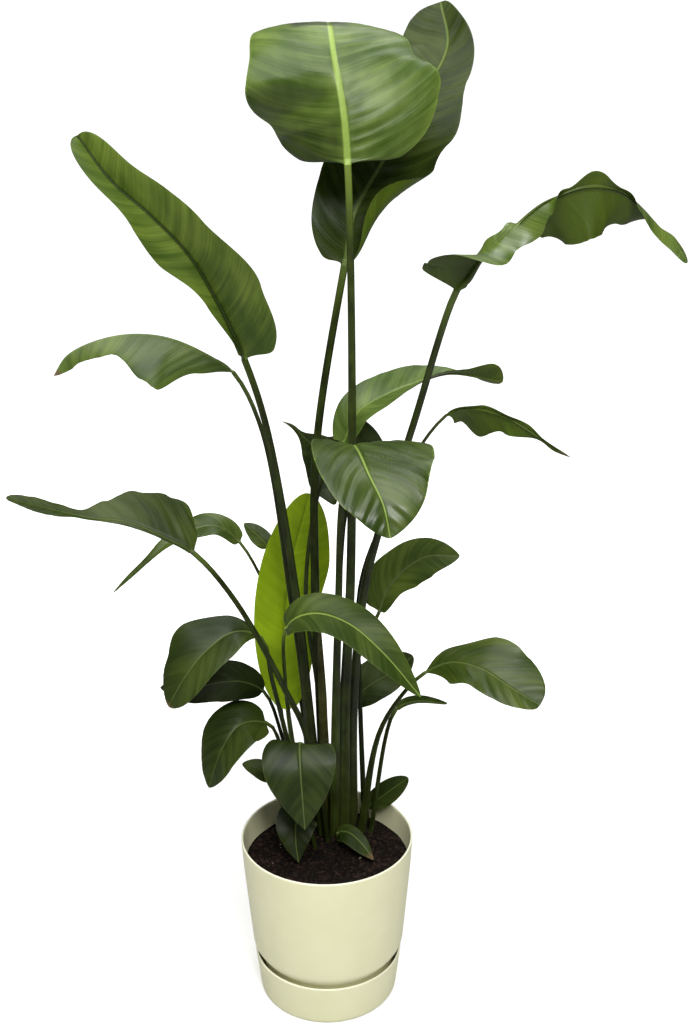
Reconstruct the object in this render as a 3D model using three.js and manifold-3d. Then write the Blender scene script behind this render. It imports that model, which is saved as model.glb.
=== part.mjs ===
// A young white bird of paradise: long-stemmed, paddle-shaped leaves growing from the soil of a round
// plastic pot, which stands in a deep matching saucer. Millimetres, +Z up, seen from -Y.
// The origin is the centre of the saucer's flat underside.
import * as THREE from 'three';
import * as BufferGeometryUtils from 'three/addons/utils/BufferGeometryUtils.js';
import Module from 'manifold-3d';

const wasm = await Module();
wasm.setup();

// ---------------------------------------------------------------- driving dimensions
const GAP = 0.3; // clearance between pieces that touch on the real plant
const ROUND_SIDES = 36;

const SAUCER = { underside: 97, heel: 102, heelHeight: 6, rim: 109, height: 66, wall: 3, floor: 3 };
const POT = { foot: 84, rim: 125, top: 255, wall: 3, floor: 3 };
const DRAIN = { count: 6, radius: 5, ring: 55, sides: 8 };
const SOIL = { level: 215, mound: 11, moundX: 12, moundY: 58, moundSpread: 58, ripple: 1.6 };
const ROOT_DEPTH = 195; // height at which every leaf stalk ends in the soil
const STALK_CLEAR = 240; // height that is above the soil beside every stalk

const BLADE_THICKNESS = 1.0;
const STALK_STATIONS = 7;
const SHORT_STALK = 150; // up to this length a stalk takes fewer stations
const SHORT_STALK_STATIONS = 4;
const BLADE_STATIONS = { broad: 12, usual: 10, small: 7 };
const BROAD_BLADE = 55; // reach of the wider half from which a leaf takes the broad section
const SMALL_BLADE = 20; // and up to which it takes the fewest stations
const CURVE_STEPS = 40; // samples for each stretch of a leaf's path
const BEND_STEPS = 6; // straight bits that a half is bent in

const GREEN = { deep: 0x2f4f1c, mid: 0x3c6422, light: 0x5c8a34, lime: 0x8fa51c, dry: 0x7a5a34 };

// Each leaf is one piece: a stalk from its foot in the soil to the collar, then a blade along its rib.
//   path    points from the foot to the tip, of which number `collar` is where the blade starts
//   stalk   width and depth of the sheathing foot, and diameter under the blade
//   faces   direction of the upper face, from the collar to the tip of the blade
//   halves  widest reach of the left and right half, seen from above with the tip away
//   form    fullness of the outline: low numbers are blunt, high ones pointed, at the collar and the tip
//   swell   by how much each half is fuller or narrower than its form
//   lift    how far each half rises from the rib, in degrees
//   curl    how much further each half bends by its edge, in degrees
// A row in place of one number of swell, lift or curl is spread evenly from the collar to the tip.
//   wave    height and number of the waves along the edges
//   lobe    how far each half reaches back past the collar, as a share of its width
const LEAVES = [
  {
    name: 'leaf_top_front', colour: GREEN.light, collar: 4,
    path: [[25, 58, ROOT_DEPTH], [27, 62, 420], [37, 58, 640], [40, 44, 960], [36, 38, 1200],
      [31, 42, 1265], [20, 66, 1328], [14, 115, 1366], [9, 170, 1364], [4, 228, 1330]],
    stalk: [19, 15, 9], faces: [[0, -1, 0.2], [0, -0.8, 0.6], [0, -0.1, 1], [0, 0.6, 0.8]],
    halves: [122, 124], form: [0.56, 0.62],
    swell: [[1.35, 1.08, 0.9, 0.85, 0.95], [1.45, 1.2, 0.85, 0.85, 0.9]], lift: [-2, -4],
    curl: [-24, -24], wave: [2, 3], lobe: [0.1, 0.1],
  },
  {
    name: 'leaf_top_back', colour: GREEN.mid, collar: 4,
    path: [[-2, 82, ROOT_DEPTH], [-8, 84, 400], [-14, 86, 620], [-9, 95, 821], [31, 120, 1062],
      [44, 133, 1127], [84, 170, 1195], [142, 215, 1283], [174, 252, 1341], [166, 285, 1397]],
    stalk: [17, 14, 10], faces: [[-0.2, -1, 0.2], [-0.3, -0.95, 0.3], [-0.4, -0.9, 0.2]],
    halves: [62, 78], form: [0.4, 0.36],
    swell: [[1.35, 0.95, 1, 1.1, 1.5], [1.2, 1.35, 1.12, 0.68, 0.42]], lift: [6, 5],
    curl: [6, [110, 175, 45, 10, 0, 0]], wave: [2, 2], lobe: [0.3, 0],
  },
  {
    name: 'leaf_left_high', colour: GREEN.mid, collar: 4,
    path: [[-8, 66, ROOT_DEPTH], [-26, 72, 430], [-40, 68, 600], [-75, 45, 860], [-100, 30, 955],
      [-130, 20, 1030], [-165, 10, 1095], [-210, 5, 1145], [-255, 10, 1185], [-297, 30, 1238]],
    stalk: [17, 13, 9], faces: [[-0.3, -0.9, 0.1], [-0.25, -0.9, 0.15], [-0.2, -0.9, 0.2]],
    halves: [46, 54], form: [0.36, 0.42],
    swell: [[0.35, 0.6, 1, 0.88, 1.2], [1.85, 1.2, 0.82, 0.76, 0.9]], lift: [[75, 62, 46, 66, 62], 14],
    curl: [10, -8], wave: [1.5, 2], lobe: [0, 0.25],
  },
  {
    name: 'leaf_right_high', colour: GREEN.mid, collar: 5,
    path: [[38, 74, ROOT_DEPTH], [40, 84, 420], [56, 86, 600], [76, 75, 695], [120, 45, 855],
      [172, 10, 1045], [203, 4, 1096], [237, 0, 1114], [272, -5, 1141], [303, -8, 1164], [334, -8, 1176],
      [367, -4, 1167], [402, -5, 1139], [431, -10, 1108], [455, -18, 1086]],
    stalk: [17, 13, 9],
    faces: [[-0.2, 0.9, 0.3], [-0.2, 0.9, 0.3], [-0.3, -0.4, 0.85], [-0.05, 0.1, 0.85], [0, 0.95, 0.3],
      [0, 0.95, 0.3], [0.1, 0.9, 0.4], [0.3, -0.2, 0.9], [0.4, -0.6, 0.7]], halves: [54, 54],
    form: [0.25, 0.5],
    swell: [[0.3, 0.25, 0.2, 0.8, 1.3, 1.2, 0.75, 0.45, 0.5],
      [1.3, 1.2, 1.05, 0.6, 0.1, 0.45, 0.1, 0.3, 0.5]], lift: [6, 6], curl: [-8, -12], wave: [3, 2],
    lobe: [0, 0],
  },
  {
    name: 'leaf_left_middle', colour: GREEN.mid, collar: 4,
    path: [[-18, 88, ROOT_DEPTH], [-32, 92, 430], [-50, 90, 595], [-85, 90, 845], [-121, 100, 921],
      [-157, 98, 949], [-208, 92, 973], [-259, 85, 979], [-308, 76, 970], [-341, 68, 953],
      [-358, 60, 928]],
    stalk: [11, 10, 6], faces: [[0, -0.5, 0.9], [0, -0.2, 1], [0, -0.2, 1], [0, -0.2, 1]],
    halves: [74, 40], form: [0.9, 0.9], swell: [[0.7, 0.75, 1.05, 0.85, 0.4, 0.4, 0.9], 1],
    lift: [-52, -35], curl: [-10, -10], wave: [3, 2], lobe: [0.2, 0.1],
  },
  {
    name: 'leaf_back_right', colour: GREEN.light, collar: 4,
    path: [[5, 98, ROOT_DEPTH], [-12, 104, 430], [-28, 104, 600], [-2, 108, 764], [27, 112, 814],
      [49, 118, 860], [86, 124, 882], [128, 130, 898], [177, 136, 910], [252, 140, 896]],
    stalk: [10, 9, 5.5], faces: [[-0.4, -0.7, 0.6], [-0.2, -0.6, 0.8], [0, -0.1, 1], [0.1, 0.7, 0.7]],
    halves: [38, 46], form: [0.46, 0.8], lift: [10, 26], curl: [4, 16], wave: [2, 2], lobe: [0.3, 0.1],
  },
  {
    name: 'leaf_right_thin', colour: GREEN.deep, collar: 5,
    path: [[57, 86, ROOT_DEPTH], [50, 118, 430], [50, 122, 590], [78, 110, 690], [139, 85, 827],
      [168, 75, 866], [184, 70, 878], [215, 60, 879], [251, 45, 869], [292, 30, 846], [330, 15, 824]],
    stalk: [9, 8, 4.5], faces: [[0, 0.4, 0.9], [0, 0.85, 0.5], [0, 0.4, 0.9]], halves: [44, 10],
    form: [0.4, 0.8], swell: [[1, 1.3, 0.8, 0.3, 0.3], 1], lift: [-8, -10], curl: [-10, -14],
    wave: [3, 3], lobe: [0.4, 0.4],
  },
  {
    name: 'leaf_centre_front', colour: GREEN.light, collar: 4,
    path: [[10, 42, ROOT_DEPTH], [14, 46, 420], [20, 50, 615], [25, 45, 745], [38, 22, 838],
      [46, -20, 848], [60, -70, 830], [76, -106, 795], [82, -122, 755]],
    stalk: [16, 13, 9], faces: [[0, 0.6, 0.8], [0.1, -0.5, 0.85], [0.1, -0.85, 0.5]], halves: [78, 82],
    form: [0.42, 0.72], lift: [8, 8], curl: [-16, -10], wave: [1.5, 2], lobe: [0.35, 0.35],
  },
  {
    name: 'leaf_centre_dark', colour: GREEN.deep, collar: 3,
    path: [[17, 100, ROOT_DEPTH], [16, 124, 440], [28, 132, 690], [40, 138, 758], [6, 144, 783],
      [-25, 136, 816], [-42, 122, 838], [-57, 110, 850]],
    stalk: [10, 9, 6], faces: [[0.1, -0.9, 0.3], [0.2, -0.9, 0.3], [0.4, -0.7, 0.5]], halves: [62, 68],
    form: [0.42, 1.5], swell: [[1, 0.85, 0.6, 0.3, 0.5], [1.1, 1.1, 0.45, 0.15, 0.4]], lift: [6, 8],
    curl: [8, 8], wave: [1, 2], lobe: [0.4, 0.4],
  },
  {
    name: 'leaf_young_upright', colour: GREEN.lime, collar: 1,
    path: [[-34, 80, ROOT_DEPTH], [-59, 122, 392], [-63, 128, 474], [-60, 134, 553], [-49, 140, 630],
      [-31, 142, 699], [-22, 142, 733]],
    stalk: [11, 10, 7], faces: [[0.1, -1, 0.1], [0.1, -1, 0.1], [0, -1, 0.2]], halves: [48, 50],
    form: [0.5, 0.5], swell: [1, [1, 1, 1, 1.25, 1.2]], lift: [10, 10], curl: [10, 10], wave: [1, 2],
    lobe: [0, 0],
  },
  {
    name: 'leaf_left_far', colour: GREEN.mid, collar: 4,
    path: [[-4, 44, ROOT_DEPTH], [-28, 34, 396], [-53, 2, 482], [-118, -38, 643], [-169, -45, 714],
      [-206, -46, 737], [-254, -46, 759], [-303, -50, 767], [-351, -62, 784], [-399, -80, 804]],
    stalk: [12, 11, 7], faces: [[0.1, -0.55, 0.85], [0, -0.5, 0.85], [0, -0.3, 0.95]], halves: [16, 54],
    form: [0.45, 0.5],
    swell: [[0.6, 0.5, 0.4, 0.35, 0.35, 0.5, 1, 1.3, 1.2],
      [1, 1.55, 1.25, 0.92, 0.5, 0.2, 0.3, 0.4, 0.55]], lift: [12, 10], curl: [-12, -14], wave: [3, 2],
    lobe: [0, 0],
  },
  {
    name: 'leaf_left_back', colour: GREEN.mid, collar: 3,
    path: [[-31, 97, ROOT_DEPTH], [-36, 126, 380], [-70, 158, 520], [-126, 165, 648], [-162, 160, 677],
      [-219, 145, 664], [-262, 125, 634], [-310, 110, 592]],
    stalk: [8, 7, 4.5], faces: [[0, -0.5, 0.85], [-0.1, -0.5, 0.85], [-0.2, -0.5, 0.85]],
    halves: [21, 26], form: [0.42, 0.8], swell: [[1, 1, 0.5, 0.4, 0.4], [1, 1, 0.5, 0.4, 0.4]],
    lift: [10, 8], curl: [-10, -12], wave: [2, 2], lobe: [0.1, 0.1],
  },
  {
    name: 'leaf_left_small', colour: GREEN.mid, collar: 2,
    path: [[-47, 86, ROOT_DEPTH], [-78, 158, 470], [-86, 184, 632], [-102, 190, 651], [-122, 195, 668]],
    stalk: [6, 6, 3.5], faces: [[0, -0.7, 0.7], [0, -0.7, 0.7]], halves: [15, 15], form: [0.42, 0.72],
    lift: [10, 10], curl: [0, 0], wave: [0, 1], lobe: [0, 0],
  },
  {
    name: 'leaf_left_low', colour: GREEN.mid, collar: 3,
    path: [[-24, 50, ROOT_DEPTH], [-56, 44, 380], [-76, 32, 489], [-89, 22, 560], [-124, 5, 578],
      [-161, -15, 560], [-190, -30, 528], [-216, -35, 484]],
    stalk: [10, 9, 6], faces: [[-0.1, -0.5, 0.85], [-0.4, -0.65, 0.65], [-0.7, -0.6, 0.35]],
    halves: [42, 44], form: [1, 0.62], swell: [[1, 1.2, 1, 1, 1], [0.8, 1.1, 1.3, 1, 0.9]],
    lift: [10, 10], curl: [-6, -6], wave: [2, 2], lobe: [0, 0],
  },
  {
    name: 'leaf_left_low_back', colour: GREEN.deep, collar: 2,
    path: [[-38, 62, ROOT_DEPTH], [-68, 64, 390], [-90, 50, 462], [-120, 38, 484], [-155, 26, 488],
      [-190, 15, 485], [-232, 5, 492]],
    stalk: [8, 7, 5], faces: [[0, -0.6, 0.8], [-0.1, -0.6, 0.8], [-0.1, -0.6, 0.8]], halves: [33, 34],
    form: [0.6, 0.8], lift: [8, 8], curl: [-6, -6], wave: [2, 2], lobe: [0, 0],
  },
  {
    name: 'leaf_left_drop', colour: GREEN.mid, collar: 2,
    path: [[-40, 44, ROOT_DEPTH], [-70, 34, 395], [-85, 15, 430], [-120, -8, 440], [-145, -28, 413],
      [-165, -40, 358]],
    stalk: [8, 7, 5.5], faces: [[-0.2, -0.5, 0.8], [-0.55, -0.65, 0.5], [-0.75, -0.6, 0.3]],
    halves: [42, 42], form: [0.5, 0.7], lift: [8, 10], curl: [-8, -6], wave: [2, 2], lobe: [0.1, 0.1],
  },
  {
    name: 'leaf_lower_front', colour: GREEN.deep, collar: 2,
    path: [[4, 26, ROOT_DEPTH], [-18, 20, 370], [-36, 2, 404], [-36, -28, 387], [-33, -46, 345],
      [-30, -56, 298]],
    stalk: [8, 7, 5.5], faces: [[0, -0.2, 1], [0, -0.85, 0.5], [0, -0.95, 0.3]], halves: [51, 54],
    form: [0.3, 0.95], lift: [4, 4], curl: [-10, -10], wave: [1.5, 2], lobe: [0.2, 0.2],
  },
  {
    name: 'leaf_lower_left', colour: GREEN.mid, collar: 1,
    path: [[-50, 28, ROOT_DEPTH], [-80, 42, 318], [-98, 48, 334], [-125, 52, 342]],
    stalk: [6, 6, 3.5], faces: [[0, -0.6, 0.8], [0, -0.6, 0.8]], halves: [15, 15], form: [0.5, 0.72],
    lift: [8, 8], curl: [0, 0], wave: [0, 1], lobe: [0, 0],
  },
  {
    name: 'leaf_soil_left', colour: GREEN.mid, collar: 1,
    path: [[-12, 12, ROOT_DEPTH], [-34, 14, 284], [-44, 0, 276], [-45, -16, 252], [-41, -30, 226]],
    stalk: [8, 7, 5.5], faces: [[0, -0.6, 0.8], [0, -0.8, 0.6], [0, -0.85, 0.5]], halves: [30, 30],
    form: [0.3, 1], lift: [6, 6], curl: [-6, -6], wave: [1, 2], lobe: [0.1, 0.1],
  },
  {
    name: 'leaf_soil_right', colour: GREEN.mid, collar: 1,
    path: [[24, 18, ROOT_DEPTH], [16, 24, 240], [31, 14, 248], [50, -4, 241], [68, -20, 223]],
    stalk: [8, 7, 5.5], faces: [[0.1, -0.5, 0.85], [0.2, -0.5, 0.85], [0.3, -0.4, 0.85]],
    halves: [13, 20], form: [0.42, 0.8], lift: [6, 6], curl: [-6, -6], wave: [1, 2], lobe: [0.1, 0.1],
  },
  {
    name: 'leaf_right_small', colour: GREEN.mid, collar: 1,
    path: [[72, 72, ROOT_DEPTH], [61, 74, 250], [84, 74, 272], [122, 72, 304]],
    stalk: [6, 6, 4], faces: [[-0.3, -0.8, 0.5], [-0.3, -0.8, 0.5]], halves: [18, 18], form: [0.5, 0.6],
    lift: [6, 6], curl: [0, 0], wave: [0, 1], lobe: [0, 0],
  },
  {
    name: 'leaf_front_arch', colour: GREEN.light, collar: 3,
    path: [[-20, 30, ROOT_DEPTH], [-50, 34, 400], [-57, 22, 500], [-53, -6, 586], [-35, -18, 610],
      [-5, -28, 619], [35, -48, 612], [80, -68, 578], [129, -85, 522]],
    stalk: [9, 8, 5], faces: [[-0.3, -0.5, 0.8], [0.1, -0.6, 0.8], [0.4, -0.6, 0.7]], halves: [32, 31],
    form: [0.42, 0.72], lift: [10, 10], curl: [-8, -10], wave: [1.5, 2], lobe: [0.2, 0.2],
  },
  {
    name: 'leaf_right_mid', colour: GREEN.deep, collar: 3,
    path: [[44, 95, ROOT_DEPTH], [34, 102, 400], [50, 112, 490], [79, 126, 552], [92, 130, 586],
      [118, 130, 619], [150, 124, 641], [195, 112, 646]],
    stalk: [9, 8, 5.5], faces: [[-0.5, -0.8, 0.3], [-0.4, -0.8, 0.4], [-0.2, -0.8, 0.5]],
    halves: [36, 44], form: [0.5, 0.72], swell: [1, [0.5, 0.5, 0.75, 0.9, 0.9]], lift: [14, 6],
    curl: [4, -6], wave: [1.5, 2], lobe: [0.1, 0.1],
  },
  {
    name: 'leaf_right_low', colour: GREEN.mid, collar: 3,
    path: [[47, 55, ROOT_DEPTH], [78, 64, 385], [112, 62, 450], [143, 50, 490], [180, 35, 514],
      [218, 12, 516], [258, -10, 497], [298, -30, 479]],
    stalk: [15, 12, 5.5], faces: [[-0.2, -0.6, 0.75], [0, -0.6, 0.8], [0.1, -0.6, 0.75]],
    halves: [52, 34], form: [0.9, 0.4], swell: [[0.7, 0.8, 1.15, 1, 0.9], [1.2, 1.7, 1.1, 0.85, 0.7]],
    lift: [10, 8], curl: [-6, -10], wave: [3, 2], lobe: [0, 0],
  },
  {
    name: 'leaf_right_low_back', colour: GREEN.deep, collar: 2,
    path: [[30, 101, ROOT_DEPTH], [30, 122, 340], [38, 130, 398], [63, 136, 425], [93, 140, 443],
      [131, 138, 474]],
    stalk: [8, 7, 5.5], faces: [[-0.4, -0.8, 0.4], [-0.3, -0.8, 0.5], [-0.2, -0.8, 0.5]],
    halves: [34, 30], form: [0.45, 0.6], lift: [10, 8], curl: [-4, -6], wave: [1.5, 2], lobe: [0.1, 0.1],
  },
  {
    name: 'leaf_right_spear', colour: GREEN.mid, collar: 2,
    path: [[61, 48, ROOT_DEPTH], [92, 84, 385], [104, 88, 412], [130, 84, 426], [178, 68, 431]],
    stalk: [8, 7, 6], faces: [[-0.3, -0.4, 0.9], [0, -0.4, 0.9]], halves: [9, 9], form: [0.42, 0.72],
    lift: [35, 35], curl: [30, 30], wave: [0, 1], lobe: [0, 0],
  },
  {
    name: 'sheath_dry', colour: GREEN.dry, collar: 1,
    path: [[3, 60, ROOT_DEPTH], [-1, 62, 270], [-4, 62, 360], [-6, 64, 470], [-8, 66, 562]],
    stalk: [10, 5, 5], faces: [[0, -1, 0.1], [0.3, -1, 0.1], [-0.3, -1, 0.1]], halves: [8, 8],
    form: [0.15, 0.5], lift: [20, 20], curl: [20, 20], wave: [1, 3], lobe: [0, 0],
  },
];

// ---------------------------------------------------------------- mesh helpers
function geometryOf(points, triangles) {
  const geometry = new THREE.BufferGeometry();
  const flat = points.flatMap((p) => [p.x, p.y, p.z]);
  geometry.setAttribute('position', new THREE.Float32BufferAttribute(flat, 3));
  geometry.setIndex(triangles.flat());
  return geometry;
}

function toSolid(geometry) {
  const bare = geometry.clone();
  bare.deleteAttribute('normal');
  bare.deleteAttribute('uv');
  const merged = BufferGeometryUtils.mergeVertices(bare, 1e-3);
  const vertProperties = new Float32Array(merged.attributes.position.array);
  const triVerts = new Uint32Array(merged.index.array);
  return new wasm.Manifold(new wasm.Mesh({ numProp: 3, vertProperties, triVerts }));
}

function fromSolid(solid) {
  const mesh = solid.getMesh();
  const geometry = new THREE.BufferGeometry();
  geometry.setAttribute('position', new THREE.BufferAttribute(mesh.vertProperties, 3));
  geometry.setIndex(new THREE.BufferAttribute(mesh.triVerts, 1));
  return geometry;
}

function namedMesh(name, geometry, colour, roughness) {
  const shaded = geometry.index ? geometry.toNonIndexed() : geometry;
  shaded.computeVertexNormals();
  const material = new THREE.MeshStandardMaterial({ color: colour, roughness, metalness: 0 });
  const mesh = new THREE.Mesh(shaded, material);
  mesh.name = name;
  return mesh;
}

// A lathe about +Z of a closed profile of [radius, height] pairs, listed upwards on the outside.
function turned(profile) {
  const closed = [...profile, profile[0]].map(([radius, height]) => new THREE.Vector2(radius, height));
  return new THREE.LatheGeometry(closed, ROUND_SIDES).rotateX(Math.PI / 2);
}

// ---------------------------------------------------------------- leaves
function blend(a, b, share) {
  return a + (b - a) * share;
}

// What a number or a row of numbers says at a share t of the blade.
function settingAt(value, t) {
  if (typeof value === 'number') return value;
  const place = t * (value.length - 1);
  const before = Math.min(Math.floor(place), value.length - 2);
  return blend(value[before], value[before + 1], THREE.MathUtils.smoothstep(place - before, 0, 1));
}

// The path as a smooth curve, and where along its length the collar lies.
function leafCurve(leaf) {
  const curve = new THREE.CatmullRomCurve3(leaf.path.map((p) => new THREE.Vector3(...p)));
  curve.arcLengthDivisions = CURVE_STEPS * (leaf.path.length - 1);
  const lengths = curve.getLengths();
  const total = lengths[lengths.length - 1];
  return { curve, total, collarShare: lengths[leaf.collar * CURVE_STEPS] / total };
}

// Point, direction of growth, upper face and right-hand side of the leaf at a share of its length.
function leafFrame(leaf, course, share) {
  const point = course.curve.getPointAt(share);
  const along = course.curve.getTangentAt(share);
  const turn = new THREE.CatmullRomCurve3(leaf.faces.map((f) => new THREE.Vector3(...f).normalize()));
  const t = THREE.MathUtils.clamp((share - course.collarShare) / (1 - course.collarShare), 0, 1);
  const face = turn.getPoint(t);
  face.addScaledVector(along, -face.dot(along)).normalize();
  const side = new THREE.Vector3().crossVectors(along, face);
  return { point, along, face, side };
}

// Corners of a section: across the upper face from the left edge to the right, then back below.
// A blade gives them as shares of its half-width, a stalk as angles round its middle, in degrees.
const BROAD = {
  across: [-1, -0.67, -0.33, 0, 0.33, 0.67, 1],
  above: [180, 158, 128, 90, 52, 22, 0],
  below: [-12, -30, -48, -68, -90, -112, -132, -150, -168],
};
const NARROW = {
  across: [-1, -0.5, 0, 0.5, 1],
  above: [180, 140, 90, 40, 0],
  below: [-16, -42, -66, -90, -114, -138, -164],
};

function sectionOf(leaf) {
  return Math.max(...leaf.halves) >= BROAD_BLADE ? BROAD : NARROW;
}

function bladeStations(leaf) {
  const reach = Math.max(...leaf.halves);
  if (reach >= BROAD_BLADE) return BLADE_STATIONS.broad;
  return reach > SMALL_BLADE ? BLADE_STATIONS.usual : BLADE_STATIONS.small;
}

function stalkSection(leaf, frame, share) {
  const [footWidth, footDepth, neck] = leaf.stalk;
  const swell = Math.max(0, 1 - share) ** 1.6;
  const halfWidth = blend(neck, footWidth, swell) / 2;
  const halfDepth = blend(neck, footDepth, swell) / 2;
  const { above, below } = sectionOf(leaf);
  return [...above, ...below].map((degrees) => {
    const angle = THREE.MathUtils.degToRad(degrees);
    const groove = degrees === 90 ? 0.6 : 1;
    return frame.point.clone()
      .addScaledVector(frame.side, Math.cos(angle) * halfWidth)
      .addScaledVector(frame.face, Math.sin(angle) * halfDepth * groove);
  });
}

// Width of the left (0) or right (1) half of a blade at a share t from the collar to the tip.
function halfWidth(leaf, t, right) {
  const [base, tip] = leaf.form;
  const widest = base / (base + tip);
  const full = (t / widest) ** base * ((1 - t) / (1 - widest)) ** tip;
  return leaf.halves[right] * full * settingAt(leaf.swell?.[right] ?? 1, t);
}

// How far out and up a half gets at a reach when it bends more and more towards its edge.
function bentHalf(rise, bend, reach) {
  let out = 0;
  let up = 0;
  for (let step = 0; step < BEND_STEPS; step += 1) {
    const slope = rise + bend * (reach * (step + 0.5) / BEND_STEPS) ** 2;
    out += (Math.cos(slope) * reach) / BEND_STEPS;
    up += (Math.sin(slope) * reach) / BEND_STEPS;
  }
  return [out, up];
}

// A point of the blade's upper face, with the face's own normal there.
function bladePoint(leaf, frame, t, across) {
  const right = across >= 0 ? 1 : 0;
  const sign = across >= 0 ? 1 : -1;
  const reach = Math.abs(across);
  const width = halfWidth(leaf, t, right);
  const rise = THREE.MathUtils.degToRad(settingAt(leaf.lift[right], t));
  const bend = THREE.MathUtils.degToRad(settingAt(leaf.curl[right], t));
  const slope = rise + bend * reach ** 2;
  const [out, up] = bentHalf(rise, bend, reach);
  const [height, count] = leaf.wave;
  const ripple = height * reach ** 2 * Math.sin(Math.PI * t)
    * Math.sin(2 * Math.PI * count * t + right * 2);
  const back = leaf.halves[right] * leaf.lobe[right] * reach ** 1.5 * (1 - t) ** 5;
  const point = frame.point.clone()
    .addScaledVector(frame.side, sign * out * width)
    .addScaledVector(frame.face, up * width + ripple)
    .addScaledVector(frame.along, -back);
  const normal = frame.face.clone().multiplyScalar(Math.cos(slope))
    .addScaledVector(frame.side, -sign * Math.sin(slope));
  return { point, normal };
}

function bladeSection(leaf, frame, t) {
  const neck = leaf.stalk[2];
  const width = Math.min(halfWidth(leaf, t, 0), halfWidth(leaf, t, 1));
  const ribHalf = Math.min(blend(neck * 0.42, 0.9, t ** 0.7), width * 0.25);
  const ribDepth = blend(neck * 0.75, 1.3, t ** 0.6);
  const ribShare = ribHalf / width;
  const { across: steps } = sectionOf(leaf);
  const above = steps.map((across) => bladePoint(leaf, frame, t, across));
  const under = (across, depth) => {
    const { point, normal } = bladePoint(leaf, frame, t, across);
    return point.addScaledVector(normal, -depth);
  };
  const half = (steps.length - 1) / 2;
  const below = [
    ...steps.slice(half + 1).reverse().map((across) => under(across, BLADE_THICKNESS)),
    under(ribShare, BLADE_THICKNESS + ribDepth * 0.45),
    frame.point.clone().addScaledVector(frame.face, -BLADE_THICKNESS - ribDepth),
    under(-ribShare, BLADE_THICKNESS + ribDepth * 0.45),
    ...steps.slice(0, half).reverse().map((across) => under(across, BLADE_THICKNESS)),
  ];
  return [...above.map((a) => a.point), ...below];
}

// Skins a row of like sections and closes both ends. Each quad is split from its outer corner to the next
// station's inner one, above and below alike.
function skin(sections) {
  const size = sections[0].length;
  const upper = size / 2 - 1; // corners on the upper face
  const half = (upper - 1) / 2;
  const ribBelow = upper + half + 1;
  const triangles = [];
  for (let ring = 0; ring < sections.length - 1; ring += 1) {
    for (let corner = 0; corner < size; corner += 1) {
      const next = (corner + 1) % size;
      const [a, b, c, d] = [ring * size + corner, ring * size + next, (ring + 1) * size + next,
        (ring + 1) * size + corner];
      const leftAbove = corner < half;
      const rightBelow = corner >= upper && corner < ribBelow;
      if (leftAbove || rightBelow) {
        triangles.push([a, b, c], [a, c, d]);
      } else {
        triangles.push([a, b, d], [b, c, d]);
      }
    }
  }
  const last = (sections.length - 1) * size;
  for (let step = 0; step < upper; step += 1) {
    const top = step;
    const low = size - 1 - step;
    const span = low - (top + 1);
    if (span >= 1) {
      triangles.push([top, low, top + 1], [last + top, last + top + 1, last + low]);
      if (span >= 2) {
        triangles.push([top + 1, low, low - 1], [last + top + 1, last + low - 1, last + low]);
      }
    }
  }
  return geometryOf(sections.flat(), triangles);
}

// Stations along the stalk: the foot, one just above the soil, then even steps up to the collar.
function stalkShares(leaf, course) {
  const clear = (STALK_CLEAR - ROOT_DEPTH) / course.total;
  const steps = course.collarShare * course.total > SHORT_STALK ? STALK_STATIONS : SHORT_STALK_STATIONS;
  const shares = [0, Math.min(clear, course.collarShare * 0.8)];
  for (let step = 1; step < steps; step += 1) {
    shares.push(blend(shares[1], course.collarShare, step / (steps - 1)));
  }
  return shares;
}

function leafSections(leaf) {
  const course = leafCurve(leaf);
  const shares = stalkShares(leaf, course);
  const stalk = shares.map((share) => (
    stalkSection(leaf, leafFrame(leaf, course, share), share / course.collarShare)));
  const stations = bladeStations(leaf);
  const blade = [];
  for (let step = 1; step <= stations; step += 1) {
    const even = step / (stations + 0.6);
    const t = blend(even, (1 - Math.cos(Math.PI * even)) / 2, 0.6);
    const share = blend(course.collarShare, 1, t);
    blade.push(bladeSection(leaf, leafFrame(leaf, course, share), t));
  }
  return [...stalk, ...blade];
}

function leafGeometry(leaf) {
  return skin(leafSections(leaf));
}

// The plain hole that a stalk stands in: its lowest stretch, a gap wider all round and below.
function stalkHole(leaf) {
  const course = leafCurve(leaf);
  const sections = stalkShares(leaf, course).slice(0, 2).map((share) => {
    const frame = leafFrame(leaf, course, share);
    const section = stalkSection(leaf, frame, share / course.collarShare);
    return section.map((corner) => {
      const outward = corner.clone().sub(frame.point);
      return corner.clone().addScaledVector(outward.normalize(), GAP * 1.9);
    });
  });
  const down = sections[0][0].clone().sub(sections[1][0]).normalize().multiplyScalar(GAP);
  sections[0].forEach((corner) => corner.add(down));
  return toSolid(skin(sections));
}

// ---------------------------------------------------------------- pot, saucer and soil
function saucerGeometry() {
  const { underside, heel, heelHeight, rim, height, wall, floor } = SAUCER;
  return turned([
    [0, 0], [underside, 0], [underside + 3.2, 1.6], [heel, heelHeight],
    [blend(heel, rim, 0.5), height * 0.52], [rim - 0.4, height - 5], [rim, height - 1.2],
    [rim - 0.8, height], [rim - wall + 0.6, height], [rim - wall, height - 1.2],
    [blend(heel, rim, 0.5) - wall, height * 0.52], [heel - wall, heelHeight + 2],
    [underside - 1.5, floor], [0, floor],
  ]);
}

// The pot's outer line, from its foot on the saucer's floor to the rim.
const POT_BOTTOM = SAUCER.floor + GAP;
const POT_LINE = [
  [POT.foot, POT_BOTTOM], [POT.foot + 2.5, POT_BOTTOM + 2.5], [98, 54], [100.5, 62], [105.5, 70.5],
  [109.5, 77], [111.8, 86], [117, 145], [122.6, 212], [POT.rim - 0.3, POT.top - 6],
  [POT.rim, POT.top - 1.4],
];

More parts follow.
